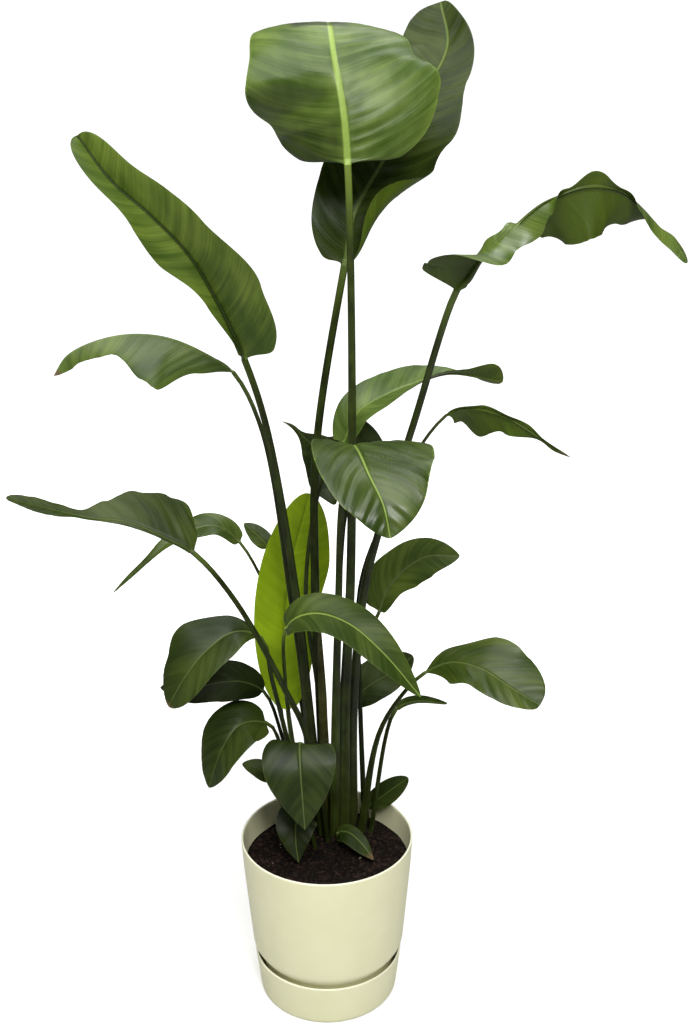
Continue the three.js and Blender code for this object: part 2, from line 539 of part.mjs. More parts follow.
function potGeometry() {
  const inner = POT_LINE.slice(1).map(([radius, height]) => [radius - POT.wall, height]).reverse();
  inner.pop();
  const body = toSolid(turned([
    [0, POT_BOTTOM], ...POT_LINE, [POT.rim - 0.9, POT.top], [POT.rim - POT.wall + 0.8, POT.top],
    ...inner, [POT.foot - 1, POT_BOTTOM + POT.floor], [0, POT_BOTTOM + POT.floor],
  ]));
  const drill = new THREE.CylinderGeometry(DRAIN.radius, DRAIN.radius, 4 * POT.floor, DRAIN.sides)
    .rotateX(Math.PI / 2);
  const holes = Array.from({ length: DRAIN.count }, (_, hole) => {
    const turn = (2 * Math.PI * hole) / DRAIN.count;
    const at = [DRAIN.ring * Math.cos(turn), DRAIN.ring * Math.sin(turn), POT_BOTTOM];
    return toSolid(drill.clone().translate(...at));
  });
  return fromSolid(holes.reduce((left, hole) => left.subtract(hole), body));
}

// Height of the soil: level at the wall, heaped round the stalks, and a little uneven.
function soilHeight(x, y) {
  const far = Math.hypot(x - SOIL.moundX, y - SOIL.moundY) / SOIL.moundSpread;
  const uneven = Math.sin(x / 9 + 1) * Math.cos(y / 11) + Math.sin((x + y) / 17);
  return SOIL.level + SOIL.mound * Math.exp(-far * far) + SOIL.ripple * uneven * 0.5;
}

function soilGeometry() {
  const clear = POT.wall + GAP;
  const wall = POT_LINE.filter(([, height]) => height > 20 && height < SOIL.level)
    .map(([radius, height]) => [radius - clear - 0.1, height]);
  const [topRadius] = POT_LINE[8];
  const crown = [0.99, 0.8, 0.6, 0.4, 0.2].map((share) => [topRadius * 0.97 * share, SOIL.level]);
  const heap = turned([
    [0, POT_BOTTOM + POT.floor + GAP], [POT.foot - clear - 1, POT_BOTTOM + POT.floor + GAP],
    ...wall, ...crown, [0, SOIL.level],
  ]);
  const place = heap.attributes.position;
  for (let corner = 0; corner < place.count; corner += 1) {
    if (place.getZ(corner) > SOIL.level - 0.5) {
      place.setZ(corner, soilHeight(place.getX(corner), place.getY(corner)));
    }
  }
  return fromSolid(LEAVES.reduce((soil, leaf) => soil.subtract(stalkHole(leaf)), toSolid(heap)));
}

// ---------------------------------------------------------------- assembly
const plant = new THREE.Group();
plant.name = 'potted_bird_of_paradise';
plant.add(namedMesh('saucer', saucerGeometry(), 0xe9e2bd, 0.5));
plant.add(namedMesh('pot', potGeometry(), 0xe9e2bd, 0.5));
plant.add(namedMesh('soil', soilGeometry(), 0x2a1b14, 0.95));
for (const leaf of LEAVES) {
  plant.add(namedMesh(leaf.name, leafGeometry(leaf), leaf.colour, 0.4));
}

export default plant;
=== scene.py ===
import math
import random
from bisect import bisect_right

import bmesh
import bpy
from mathutils import Matrix, Vector, noise


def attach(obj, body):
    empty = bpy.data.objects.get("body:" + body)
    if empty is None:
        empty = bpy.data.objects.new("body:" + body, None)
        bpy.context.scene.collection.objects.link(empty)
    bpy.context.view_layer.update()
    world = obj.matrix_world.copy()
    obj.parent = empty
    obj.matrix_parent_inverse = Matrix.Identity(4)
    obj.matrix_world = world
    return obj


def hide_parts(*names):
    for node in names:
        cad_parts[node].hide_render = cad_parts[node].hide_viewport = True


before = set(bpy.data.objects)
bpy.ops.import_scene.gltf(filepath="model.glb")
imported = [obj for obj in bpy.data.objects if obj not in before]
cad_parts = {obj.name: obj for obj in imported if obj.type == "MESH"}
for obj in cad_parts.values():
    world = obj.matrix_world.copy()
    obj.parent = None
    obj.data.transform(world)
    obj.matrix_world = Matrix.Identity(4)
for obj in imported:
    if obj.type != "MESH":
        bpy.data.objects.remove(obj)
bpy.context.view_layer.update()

MM = 0.001
ROOT = 195  # height in mm at which every leaf stalk ends in the soil

# ---- leaves
# Each leaf is one piece: a stalk from its foot in the soil to the collar, then a blade along its rib.
# Lengths are in mm and angles in degrees.
#   path    points from foot to tip; number `collar` of them is where the blade starts
#   stalk   width and depth of the sheathing foot, and diameter under the blade
#   faces   direction of the upper face, from the collar to the tip
#   halves  widest reach of the left and right half, seen from above with the tip away
#   form    outline at the collar and the tip: low numbers are blunt, high ones pointed
#   swell   by how much each half is fuller or narrower than its form
#   lift    how far each half rises from the rib
#   curl    how much further each half bends by its edge
# A row in place of one number of swell, lift or curl is spread evenly from the collar to the tip.
#   wave    height and number of the waves along the edges
#   lobe    how far each half reaches back past the collar, as a share of its width
#   veins   how far the side veins lean to the tip, height and spacing of the pleats between them
#   gloss   roughness of the upper face; shine is the strength of its waxy gloss
#   rib     half-width of the coloured rib at collar and tip, and how clearly it shows; below nought a dark rib of painted shade
#   edge    how clearly the pale margin shows
#   shade   brightness of the upper face, partly own tone, partly painted light and shade; below is the same for the under face
#   dry     share of the tip that is brown
#   painted_shade  painted shade: from and to along the blade, from and to across it (left is minus), what is
#       left
USUAL_LEAF = dict(
    tone="mid", collar=4, stalk=(8, 7, 5.5), form=(0.42, 0.72), swell=(1, 1), lift=(10, 10),
    curl=(-6, -6), wave=(2, 2), lobe=(0, 0), veins=(0.9, 0.55, 10), gloss=0.35, rib=(1.6, 0.8, 0.6),
    edge=0.1, shade=0.9, below=1, shine=0.3, dry=0, painted_shade=(),
)
LEAVES = {
    "leaf_top_front": dict(
        tone="light",
        path=((25, 58, ROOT), (27, 62, 420), (37, 58, 640), (40, 44, 960), (36, 38, 1200), (31, 42, 1265),
              (20, 66, 1328), (14, 115, 1366), (9, 170, 1364), (4, 228, 1330)),
        stalk=(19, 15, 9), faces=((0, -1, 0.2), (0, -0.8, 0.6), (0, -0.1, 1), (0, 0.6, 0.8)),
        halves=(122, 124), form=(0.56, 0.62),
        swell=((1.85, 1.1, 0.86, 0.9, 0.92), (1.45, 1.2, 0.85, 0.85, 0.9)),
        lift=((-36, -36, -30, -2, 0, 0, 0, 0, 0), -4), curl=(-24, -24), wave=(2, 3), lobe=(0.1, 0.1),
        veins=(0.16, 1.4, 13), gloss=0.36, rib=(5, 2.3, 0.75), shade=0.95, shine=0.36,
        # painted shade below the lower-left crease and on the curled far part of the blade
        painted_shade=((0, 0.15, -200, -3, 0.6), (0.6, 1, -55, 28, 0.35))),
    "leaf_top_back": dict(
        path=((-2, 82, ROOT), (-8, 84, 400), (-14, 86, 620), (-9, 95, 821), (31, 120, 1062), (44, 133, 1127),
              (84, 170, 1195), (142, 215, 1283), (174, 252, 1341), (166, 285, 1397)),
        stalk=(17, 14, 10), faces=((-0.2, -1, 0.2), (-0.3, -0.95, 0.3), (-0.4, -0.9, 0.2)), halves=(62, 78),
        form=(0.62, 0.36), swell=((1.9, 1.45, 1.05, 1.1, 1.5), (1.3, 1.5, 1.02, 0.62, 0.38)), lift=(6, 5),
        curl=(6, (110, 175, 45, 10, 0, 0)), lobe=(0.2, 0), veins=(0.5, 1.0, 13), gloss=0.28,
        rib=(3.5, 1.8, 0.7), edge=0.08, shade=0.5, shine=0.08),
    "leaf_left_high": dict(
        path=((-8, 66, ROOT), (-26, 72, 430), (-40, 68, 600), (-75, 45, 860), (-100, 30, 955),
              (-130, 20, 1030), (-165, 10, 1095), (-210, 5, 1145), (-255, 10, 1185), (-297, 30, 1238)),
        stalk=(17, 13, 9), faces=((-0.3, -0.9, 0.1), (-0.25, -0.9, 0.15), (-0.2, -0.9, 0.2)),
        halves=(46, 54), form=(0.48, 0.42), swell=((0.25, 0.5, 0.95, 0.8, 1.1), (2.2, 1.5, 0.85, 0.72, 0.8)),
        lift=((75, 62, 46, 66, 62), 14), curl=(10, -8), wave=(1.5, 2), lobe=(0, 0.25),
        veins=(0.45, 0.35, 14), gloss=0.42, rib=(2.5, 1.2, -0.9), edge=0.05, shade=1.3),
    "leaf_right_high": dict(
        collar=5,
        path=((38, 74, ROOT), (40, 84, 420), (56, 86, 600), (76, 75, 695), (120, 45, 855), (173, 10, 1047),
              (187, 6, 1066), (200, 4, 1088), (221, 0, 1110), (247, -3, 1136), (273, -6, 1157),
              (298, -8, 1168), (323, -8, 1175), (349, -6, 1175), (375, -4, 1168), (400, -4, 1149),
              (421, -6, 1127), (441, -10, 1106), (455, -18, 1084)),
        stalk=(17, 13, 9),
        faces=((-0.2, 0.9, 0.3), (-0.3, 0.75, 0.5), (-0.3, -0.3, 0.9), (0, -0.2, 0.95), (0, 0.1, 1),
               (0, 0.1, 1), (0.2, -0.2, 1), (0.4, -0.7, 0.6), (0.4, -0.7, 0.6)), halves=(54, 54),
        form=(0.25, 0.5),
        swell=((0.3, 0.5, 0.3, 0.15, 0.8, 1.15, 1.25, 1.28, 1.25, 0.85, 0.22, 0.35, 0.5),
               (1.9, 1.55, 1.1, 0.5, 0.6, 0.4, 0.08, 0.4, 0.14, 0.4, 0.5, 0.48, 0.5)),
        lift=((6, 70, 60, 30, -80, -85, -85, -85, -85, -85, -40, -5, 0),
              (0, 0, -20, -35, -55, -50, 60, 75, 50, 0, 0, -10, -10)), curl=(-8, -12), wave=(1, 2),
        lobe=(0, 0.25), veins=(0.35, 0.6, 15), gloss=0.32, rib=(3, 1.4, 0.1), shade=1.45, below=0.68,
        shine=0.8),
    "leaf_left_middle": dict(
        path=((-18, 88, ROOT), (-32, 92, 430), (-50, 90, 595), (-85, 90, 845), (-121, 100, 921),
              (-157, 98, 949), (-208, 92, 973), (-259, 85, 979), (-308, 76, 970), (-341, 68, 953),
              (-358, 60, 928)),
        stalk=(11, 10, 6), faces=((0, -0.5, 0.9), (0, -0.2, 1), (0, -0.2, 1), (0, -0.2, 1)), halves=(74, 40),
        form=(0.9, 0.9), swell=((0.7, 0.75, 1.05, 0.85, 0.4, 0.4, 0.9), 1), lift=(-52, -35), curl=(-10, -10),
        wave=(3, 2), veins=(0.7, 1.0, 11), gloss=0.38, rib=(2.5, 1.2, 0.2), edge=0.05, shade=1.35,
        shine=0.45, dry=0.02),
    "leaf_back_right": dict(
        tone="light",
        path=((5, 98, ROOT), (-12, 104, 430), (-28, 104, 600), (-2, 108, 764), (27, 112, 814),
              (49, 118, 860), (86, 124, 882), (128, 130, 898), (177, 136, 910), (252, 140, 896)),
        stalk=(10, 9, 5.5), faces=((-0.4, -0.7, 0.6), (-0.2, -0.6, 0.8), (0, -0.1, 1), (0.1, 0.7, 0.7)),
        halves=(38, 46), form=(0.46, 0.55), swell=((1, 1, 0.95, 0.5, 1.5), (1, 1, 0.95, 0.4, 1.5)),
        lift=(10, 26), curl=(4, 16), lobe=(0.3, 0.1), veins=(0.6, 0.6, 12), gloss=0.38, rib=(2.5, 1.2, 0.3),
        edge=0.05, shade=1.15, below=0.6, shine=0.55),
    "leaf_right_thin": dict(
        tone="deep", collar=5,
        path=((57, 86, ROOT), (50, 118, 430), (50, 122, 590), (78, 110, 690), (139, 85, 827), (168, 75, 866),
              (184, 70, 878), (215, 60, 879), (251, 45, 869), (292, 30, 846), (330, 15, 824)),
        stalk=(9, 8, 4.5), faces=((0, 0.4, 0.9), (0, 0.85, 0.5), (0, 0.4, 0.9)), halves=(44, 10),
        form=(0.4, 0.8), swell=((1, 1.25, 0.6, 0.28, 0.8), 1), lift=(-8, -10), curl=(-10, -14), wave=(3, 3),
        lobe=(0.4, 0.4), veins=(0.6, 0.6, 11), gloss=0.4, shade=1.4, below=1.5, dry=0.05),
    "leaf_centre_front": dict(
        tone="light",
        path=((10, 42, ROOT), (14, 46, 420), (20, 50, 615), (25, 45, 745), (38, 22, 838), (46, -20, 848),
              (60, -70, 830), (78, -106, 799), (86, -122, 762)),
        stalk=(16, 13, 9), faces=((0, 0.6, 0.8), (0.1, -0.5, 0.85), (0.1, -0.85, 0.5)), halves=(88, 72),
        swell=((1.12, 1.15, 1.08, 1.02, 1), (0.88, 0.88, 0.9, 0.95, 1)), lift=(8, 8), curl=(-16, -10),
        wave=(1.5, 2), lobe=(0.35, 0.35), veins=(0.85, 1.6, 10), gloss=0.26, rib=(2.2, 1.0, 0.6), edge=0.15,
        shade=0.56, shine=0.36),
    "leaf_centre_dark": dict(
        tone="deep", collar=3,
        path=((17, 100, ROOT), (16, 124, 440), (28, 132, 690), (40, 138, 758), (6, 144, 783),
              (-25, 136, 816), (-42, 122, 838), (-57, 110, 850)),
        stalk=(10, 9, 6), faces=((0.1, -0.9, 0.3), (0.2, -0.9, 0.3), (0.4, -0.7, 0.5)), halves=(62, 68),
        form=(0.42, 1.5), swell=((1, 0.85, 0.6, 0.3, 0.5), (1.1, 1.1, 0.45, 0.15, 0.4)), lift=(6, 8),
        curl=(8, 8), wave=(1, 2), lobe=(0.4, 0.4), veins=(0.6, 0.5, 13), gloss=0.36),
    "leaf_young_upright": dict(
        tone="lime", collar=1,
        path=((-34, 80, ROOT), (-59, 122, 392), (-63, 128, 474), (-60, 134, 553), (-49, 140, 630),
              (-31, 142, 699), (-22, 142, 733)),
        stalk=(11, 10, 7), faces=((0.1, -1, 0.1), (0.1, -1, 0.1), (0, -1, 0.2)), halves=(48, 50),
        form=(0.5, 0.5), swell=(1, (1, 1, 1, 1.25, 1.2)), curl=(10, 10), wave=(1, 2), veins=(0.5, 0.3, 12),
        gloss=0.45, rib=(2.5, 1.2, 0.3), edge=0.0),
    "leaf_left_far": dict(
        path=((-4, 44, ROOT), (-28, 34, 396), (-53, 2, 482), (-118, -38, 643), (-169, -45, 714),
              (-206, -46, 737), (-254, -46, 759), (-303, -50, 767), (-351, -62, 784), (-399, -80, 804)),
        stalk=(12, 11, 7), faces=((0.1, -0.55, 0.85), (0, -0.5, 0.85), (0, -0.3, 0.95)), halves=(16, 54),
        form=(0.45, 0.5),
        swell=((0.6, 0.5, 0.4, 0.35, 0.35, 0.5, 1, 1.3, 1.2),
               (1, 1.55, 1.25, 0.92, 0.5, 0.2, 0.3, 0.4, 0.55)), lift=(12, 10), curl=(-12, -14), wave=(3, 2),
        veins=(0.8, 0.8, 12), gloss=0.32, rib=(2, 1, 0.2), shade=0.52, shine=0.12),
    "leaf_left_back": dict(
        collar=3,
        path=((-31, 97, ROOT), (-36, 126, 380), (-70, 158, 520), (-126, 165, 648), (-162, 160, 677),
              (-219, 145, 664), (-262, 125, 634), (-310, 110, 592)),
        stalk=(8, 7, 4.5), faces=((0, -0.5, 0.85), (-0.1, -0.5, 0.85), (-0.2, -0.5, 0.85)), halves=(21, 26),
        form=(0.42, 0.8), swell=((1, 1, 0.5, 0.4, 0.4), (1, 1, 0.5, 0.4, 0.4)), lift=(10, 8),
        curl=(-10, -12), lobe=(0.1, 0.1), veins=(0.9, 0.4, 10), rib=(1.8, 0.9, 0.3), shade=1, shine=0.4),
    "leaf_left_small": dict(
        collar=2,
        path=((-47, 86, ROOT), (-78, 158, 470), (-86, 184, 632), (-102, 190, 651), (-122, 195, 668)),
        stalk=(6, 6, 3.5), faces=((0, -0.7, 0.7), (0, -0.7, 0.7)), halves=(15, 15), curl=(0, 0), wave=(0, 1),
        edge=0.2),
    "leaf_left_low": dict(
        collar=3,
        path=((-24, 50, ROOT), (-56, 44, 380), (-76, 32, 489), (-89, 22, 560), (-124, 5, 578),
              (-161, -15, 560), (-190, -30, 528), (-216, -35, 484)),
        stalk=(10, 9, 6), faces=((-0.1, -0.5, 0.85), (-0.4, -0.65, 0.65), (-0.7, -0.6, 0.35)),
        halves=(42, 44), form=(1, 0.62), swell=((1, 1.2, 1, 1, 1), (0.8, 1.1, 1.3, 1, 0.9)),
        veins=(0.9, 0.6, 11), gloss=0.34, rib=(1.8, 0.9, 0.5), edge=0.2, shade=0.55, dry=0.02),
    "leaf_left_low_back": dict(
        tone="deep", collar=2,
        path=((-38, 62, ROOT), (-68, 64, 390), (-90, 50, 462), (-120, 38, 484), (-155, 26, 488),
              (-190, 15, 485), (-232, 5, 492)),
        stalk=(8, 7, 5), faces=((0, -0.6, 0.8), (-0.1, -0.6, 0.8), (-0.1, -0.6, 0.8)), halves=(33, 34),
        form=(0.6, 0.8), lift=(8, 8), rib=(1.6, 0.8, 0.4), edge=0.05, shade=0.35, shine=0),
    "leaf_left_drop": dict(
        collar=2,
        path=((-40, 44, ROOT), (-70, 34, 395), (-85, 15, 430), (-120, -8, 440), (-145, -28, 413),
              (-165, -40, 358)),
        faces=((-0.2, -0.5, 0.8), (-0.55, -0.65, 0.5), (-0.75, -0.6, 0.3)),
        halves=(42, 42), form=(0.5, 0.7), lift=(8, 10), curl=(-8, -6), lobe=(0.1, 0.1), rib=(1.6, 0.8, 0.4),
        shade=0.5, shine=0.2),
    "leaf_lower_front": dict(
        tone="deep", collar=2,
        path=((4, 26, ROOT), (-18, 20, 370), (-36, 2, 404), (-36, -28, 387), (-33, -46, 345),
              (-30, -56, 298)),
        faces=((0, -0.2, 1), (0, -0.85, 0.5), (0, -0.95, 0.3)), halves=(51, 54),
        form=(0.3, 0.95), lift=(4, 4), curl=(-10, -10), wave=(1.5, 2), lobe=(0.2, 0.2), rib=(1.7, 0.8, 0.8),
        edge=0.3, shade=0.75, shine=0.2),
    "leaf_lower_left": dict(
        collar=1,
        path=((-50, 28, ROOT), (-80, 42, 318), (-98, 48, 334), (-125, 52, 342)),
        stalk=(6, 6, 3.5), faces=((0, -0.6, 0.8), (0, -0.6, 0.8)), halves=(15, 15), form=(0.5, 0.72),
        lift=(8, 8), curl=(0, 0), wave=(0, 1), edge=0.2),
    "leaf_soil_left": dict(
        collar=1,
        path=((-12, 12, ROOT), (-34, 14, 284), (-44, 0, 276), (-45, -16, 252), (-41, -30, 226)),
        faces=((0, -0.6, 0.8), (0, -0.8, 0.6), (0, -0.85, 0.5)), halves=(30, 30),
        form=(0.3, 1), lift=(6, 6), wave=(1, 2), lobe=(0.1, 0.1), rib=(1.3, 0.8, 0.6), edge=0.3, shade=0.25,
        shine=0.1),
    "leaf_soil_right": dict(
        collar=1,
        path=((24, 18, ROOT), (16, 24, 240), (31, 14, 248), (50, -4, 241), (68, -20, 223)),
        faces=((0.1, -0.5, 0.85), (0.2, -0.5, 0.85), (0.3, -0.4, 0.85)), halves=(13, 20),
        form=(0.42, 0.8), lift=(6, 6), wave=(1, 2), lobe=(0.1, 0.1), veins=(0.9, 0.4, 10), gloss=0.42,
        edge=0.4, shade=0.5, shine=0.2, dry=0.1),
    "leaf_right_small": dict(
        collar=1,
        path=((72, 72, ROOT), (61, 74, 250), (84, 74, 272), (122, 72, 304)),
        stalk=(6, 6, 4), faces=((-0.3, -0.8, 0.5), (-0.3, -0.8, 0.5)), halves=(18, 18), form=(0.5, 0.6),
        lift=(6, 6), curl=(0, 0), wave=(0, 1), rib=(1.3, 0.8, 0.4), shade=0.45, shine=0.2),
    "leaf_front_arch": dict(
        tone="light", collar=3,
        path=((-20, 30, ROOT), (-50, 34, 400), (-57, 22, 500), (-53, -6, 586), (-35, -18, 610),
              (-5, -28, 619), (35, -48, 612), (80, -68, 578), (129, -85, 522)),
        stalk=(9, 8, 5), faces=((-0.3, -0.5, 0.8), (0.1, -0.6, 0.8), (0.4, -0.6, 0.7)), halves=(32, 31),
        curl=(-8, -10), wave=(1.5, 2), lobe=(0.2, 0.2), rib=(1.7, 0.8, 0.7), edge=0.2, shade=0.6, shine=0.15),
    "leaf_right_mid": dict(
        tone="deep", collar=3,
        path=((44, 95, ROOT), (34, 102, 400), (50, 112, 490), (79, 126, 552), (92, 130, 586),
              (118, 130, 619), (150, 124, 641), (195, 112, 646)),
        stalk=(9, 8, 5.5), faces=((-0.5, -0.8, 0.3), (-0.4, -0.8, 0.4), (-0.2, -0.8, 0.5)), halves=(36, 44),
        form=(0.5, 0.72), swell=((1.3, 1.15, 1, 1, 1), (0.5, 0.5, 0.75, 0.9, 0.9)), lift=(14, 6),
        curl=(4, -6), wave=(1.5, 2), lobe=(0.1, 0.1), rib=(1.6, 0.8, 0.8), shade=1.8),
    "leaf_right_low": dict(
        collar=3,
        path=((47, 55, ROOT), (78, 64, 385), (112, 62, 450), (143, 50, 490), (180, 35, 514), (218, 12, 516),
              (258, -10, 497), (298, -30, 479)),
        stalk=(15, 12, 5.5), faces=((-0.2, -0.6, 0.75), (0, -0.6, 0.8), (0.1, -0.6, 0.75)), halves=(52, 34),
        form=(0.9, 0.4), swell=((0.7, 0.8, 1.15, 1, 0.9), (1.2, 1.7, 1.1, 0.85, 0.7)), lift=(10, 8),
        curl=(-6, -10), wave=(3, 2), veins=(1.0, 1.1, 10), gloss=0.3, rib=(1.7, 0.8, 0.6), edge=0.2,
        shade=0.85, shine=0.22),
    "leaf_right_low_back": dict(
        tone="deep", collar=2,
        path=((30, 101, ROOT), (30, 122, 340), (38, 130, 398), (63, 136, 425), (93, 140, 443),
              (131, 138, 474)),
        faces=((-0.4, -0.8, 0.4), (-0.3, -0.8, 0.5), (-0.2, -0.8, 0.5)), halves=(34, 30),
        form=(0.45, 0.6), lift=(10, 8), curl=(-4, -6), wave=(1.5, 2), lobe=(0.1, 0.1), edge=0.2),
    "leaf_right_spear": dict(
        collar=2,
        path=((61, 48, ROOT), (92, 84, 385), (104, 88, 412), (130, 84, 426), (178, 68, 431)),
        stalk=(8, 7, 6), faces=((-0.3, -0.4, 0.9), (0, -0.4, 0.9)), halves=(9, 9), lift=(35, 35),
        curl=(30, 30), wave=(0, 1), edge=0.2),
    "sheath_dry": dict(
        tone="dry", collar=1,
        path=((3, 60, ROOT), (-1, 62, 270), (-4, 62, 360), (-6, 64, 470), (-8, 66, 562)),
        stalk=(10, 5, 5), faces=((0, -1, 0.1), (0.3, -1, 0.1), (-0.3, -1, 0.1)), halves=(8, 8),
        form=(0.15, 0.5), lift=(20, 20), curl=(20, 20), wave=(1, 3), edge=0.2),
}

# ---- leaves: cells
CURVE_STEPS = 40  # samples for each stretch of a leaf's path
DIRECTION_STEP = 0.0005  # share of the path that its direction is read over, each way
BEND_STEPS = 6  # straight bits that a half is bent in

# The blade: mm, and shares of its length or width.
BLADE_THICKNESS = 1
BLADE_END = 0.9995  # where the last ring lies, just short of the tip
TIP_THINNING = 0.02  # length over which the blade thins out before the tip
EDGE_START, EDGE_WIDTH, EDGE_LOSS = 0.8, 0.2, 0.5  # where a half thins, how fast and by how much
COLLAR_LENGTH = 0.025  # length over which the stalk turns into the blade
WAVE_SHIFT = 2  # radians between the waves of the two edges
LOBE_BEND, LOBE_FADE, LOBE_START = 1.5, 5, 0.05
VEIN_BEND = 0.3  # how much more a side vein leans by the edge
PLEATS = ((1, 90, 0, 1.8), (2.3, 60, 5, 0.7))  # how much finer, length in mm, seed and strength
PLEAT_START, PLEAT_LOSS = 14, 0.4  # mm from the rib where they are full, share lost by the edge

# The rib and the stalk.
RIB_COLUMNS = 4  # columns of a half section that shape the rib
RIB_SHARE = 0.15  # share of the surface map that the rib takes
RIB_TURN = 70  # degrees of the stalk's round that turn into the rib
RIB_AT_COLLAR = (0.42, 0.75)  # half-width and depth as shares of the stalk's diameter
RIB_AT_TIP = (0.9, 1.2)  # the same in mm
RIB_MOST = 0.3  # share of a narrow half that the rib may take
RIB_SINK = 0.35  # depth of the furrow above it, as a share of its half-width
SHEATH_TAPER = 1.6
GROOVE_DEPTH, GROOVE_START, GROOVE_WIDTH = 0.4, 42, 46  # share of the stalk, and degrees round it

# Cells of a leaf's surface: usual size in mm, fewest and most.
COLUMN_CELLS = (5, 10, 26)
BLADE_CELLS = (2.6, 36, 170)
STALK_CELLS = (18, 8, 56)
CELL_CROWDING = 0.7  # crowding of the rows at both ends of the blade
SEED_STEP = 17.3
SAME_PLACE = 1e-7  # metres between points that are one point


def blend(a, b, share):
    return a + (b - a) * share


def clamp(value, low=0.0, high=1.0):
    return min(max(value, low), high)


def smooth(value):
    value = clamp(value)
    return value * value * (3 - 2 * value)


def setting_at(value, t):
    """What a number or a row of numbers says at a share t of the blade."""
    if not isinstance(value, tuple):
        return value
    place = clamp(t) * (len(value) - 1)
    before = min(int(place), len(value) - 2)
    return blend(value[before], value[before + 1], smooth(place - before))


def bent_half(rise, bend, reach):
    """How far out and up a half gets at a reach when it bends more and more towards its edge."""
    out = up = 0.0
    for step in range(BEND_STEPS):
        slope = rise + bend * (reach * (step + 0.5) / BEND_STEPS) ** 2
        out += math.cos(slope) * reach / BEND_STEPS
        up += math.sin(slope) * reach / BEND_STEPS
    return out, up


class Curve:
    """A smooth line through points, closer to the straight one where they are near each other."""

    def __init__(self, points):
        points = [Vector(p) for p in points]
        first = points[0] * 2 - points[1]
        last = points[-1] * 2 - points[-2]
        self.points = [first, *points, last]
        self.spans = len(points) - 1

    def at(self, place):
        span = min(int(place * self.spans), self.spans - 1)
        share = place * self.spans - span
        p0, p1, p2, p3 = self.points[span:span + 4]
        near = (p2 - p1).length ** 0.5 or 1.0
        before = (p1 - p0).length ** 0.5 or near
        after = (p3 - p2).length ** 0.5 or near
        leave = ((p1 - p0) / before - (p2 - p0) / (before + near)) * near + (p2 - p1)
        reach = (p2 - p1) + ((p3 - p2) / after - (p3 - p1) / (near + after)) * near
        bend = (p1 - p2) * 3 + leave * 2 + reach
        twist = (p1 - p2) * 2 + leave + reach
        return p1 + leave * share - bend * share ** 2 + twist * share ** 3


class Spine:
    """The line of a leaf from foot to tip, with the direction of its upper face."""

    def __init__(self, leaf):
        self.curve = Curve(leaf["path"])
        self.turn = Curve([Vector(f).normalized() for f in leaf["faces"]])
        steps = CURVE_STEPS * self.curve.spans
        self.places = [step / steps for step in range(steps + 1)]
        dots = [self.curve.at(place) for place in self.places]
        self.lengths = [0.0]
        for a, b in zip(dots, dots[1:]):
            self.lengths.append(self.lengths[-1] + (b - a).length)
        self.total = self.lengths[-1]
        self.stalk = self.lengths[leaf["collar"] * CURVE_STEPS]
        self.blade = self.total - self.stalk

    def place_at(self, length):
        high = bisect_right(self.lengths, length, 1, len(self.lengths) - 1)
        before, after = self.lengths[high - 1:high + 1]
        share = (length - before) / (after - before)
        return blend(self.places[high - 1], self.places[high], share)

    def frame(self, length):
        """Point, direction of growth, upper face and right-hand side."""
        place = self.place_at(clamp(length, 0, self.total))
        ahead = self.curve.at(min(place + DIRECTION_STEP, 1))
        behind = self.curve.at(max(place - DIRECTION_STEP, 0))
        along = (ahead - behind).normalized()
        face = self.turn.at(clamp((length - self.stalk) / self.blade))
        face = (face - along * face.dot(along)).normalized()
        return self.curve.at(place), along, face, along.cross(face)


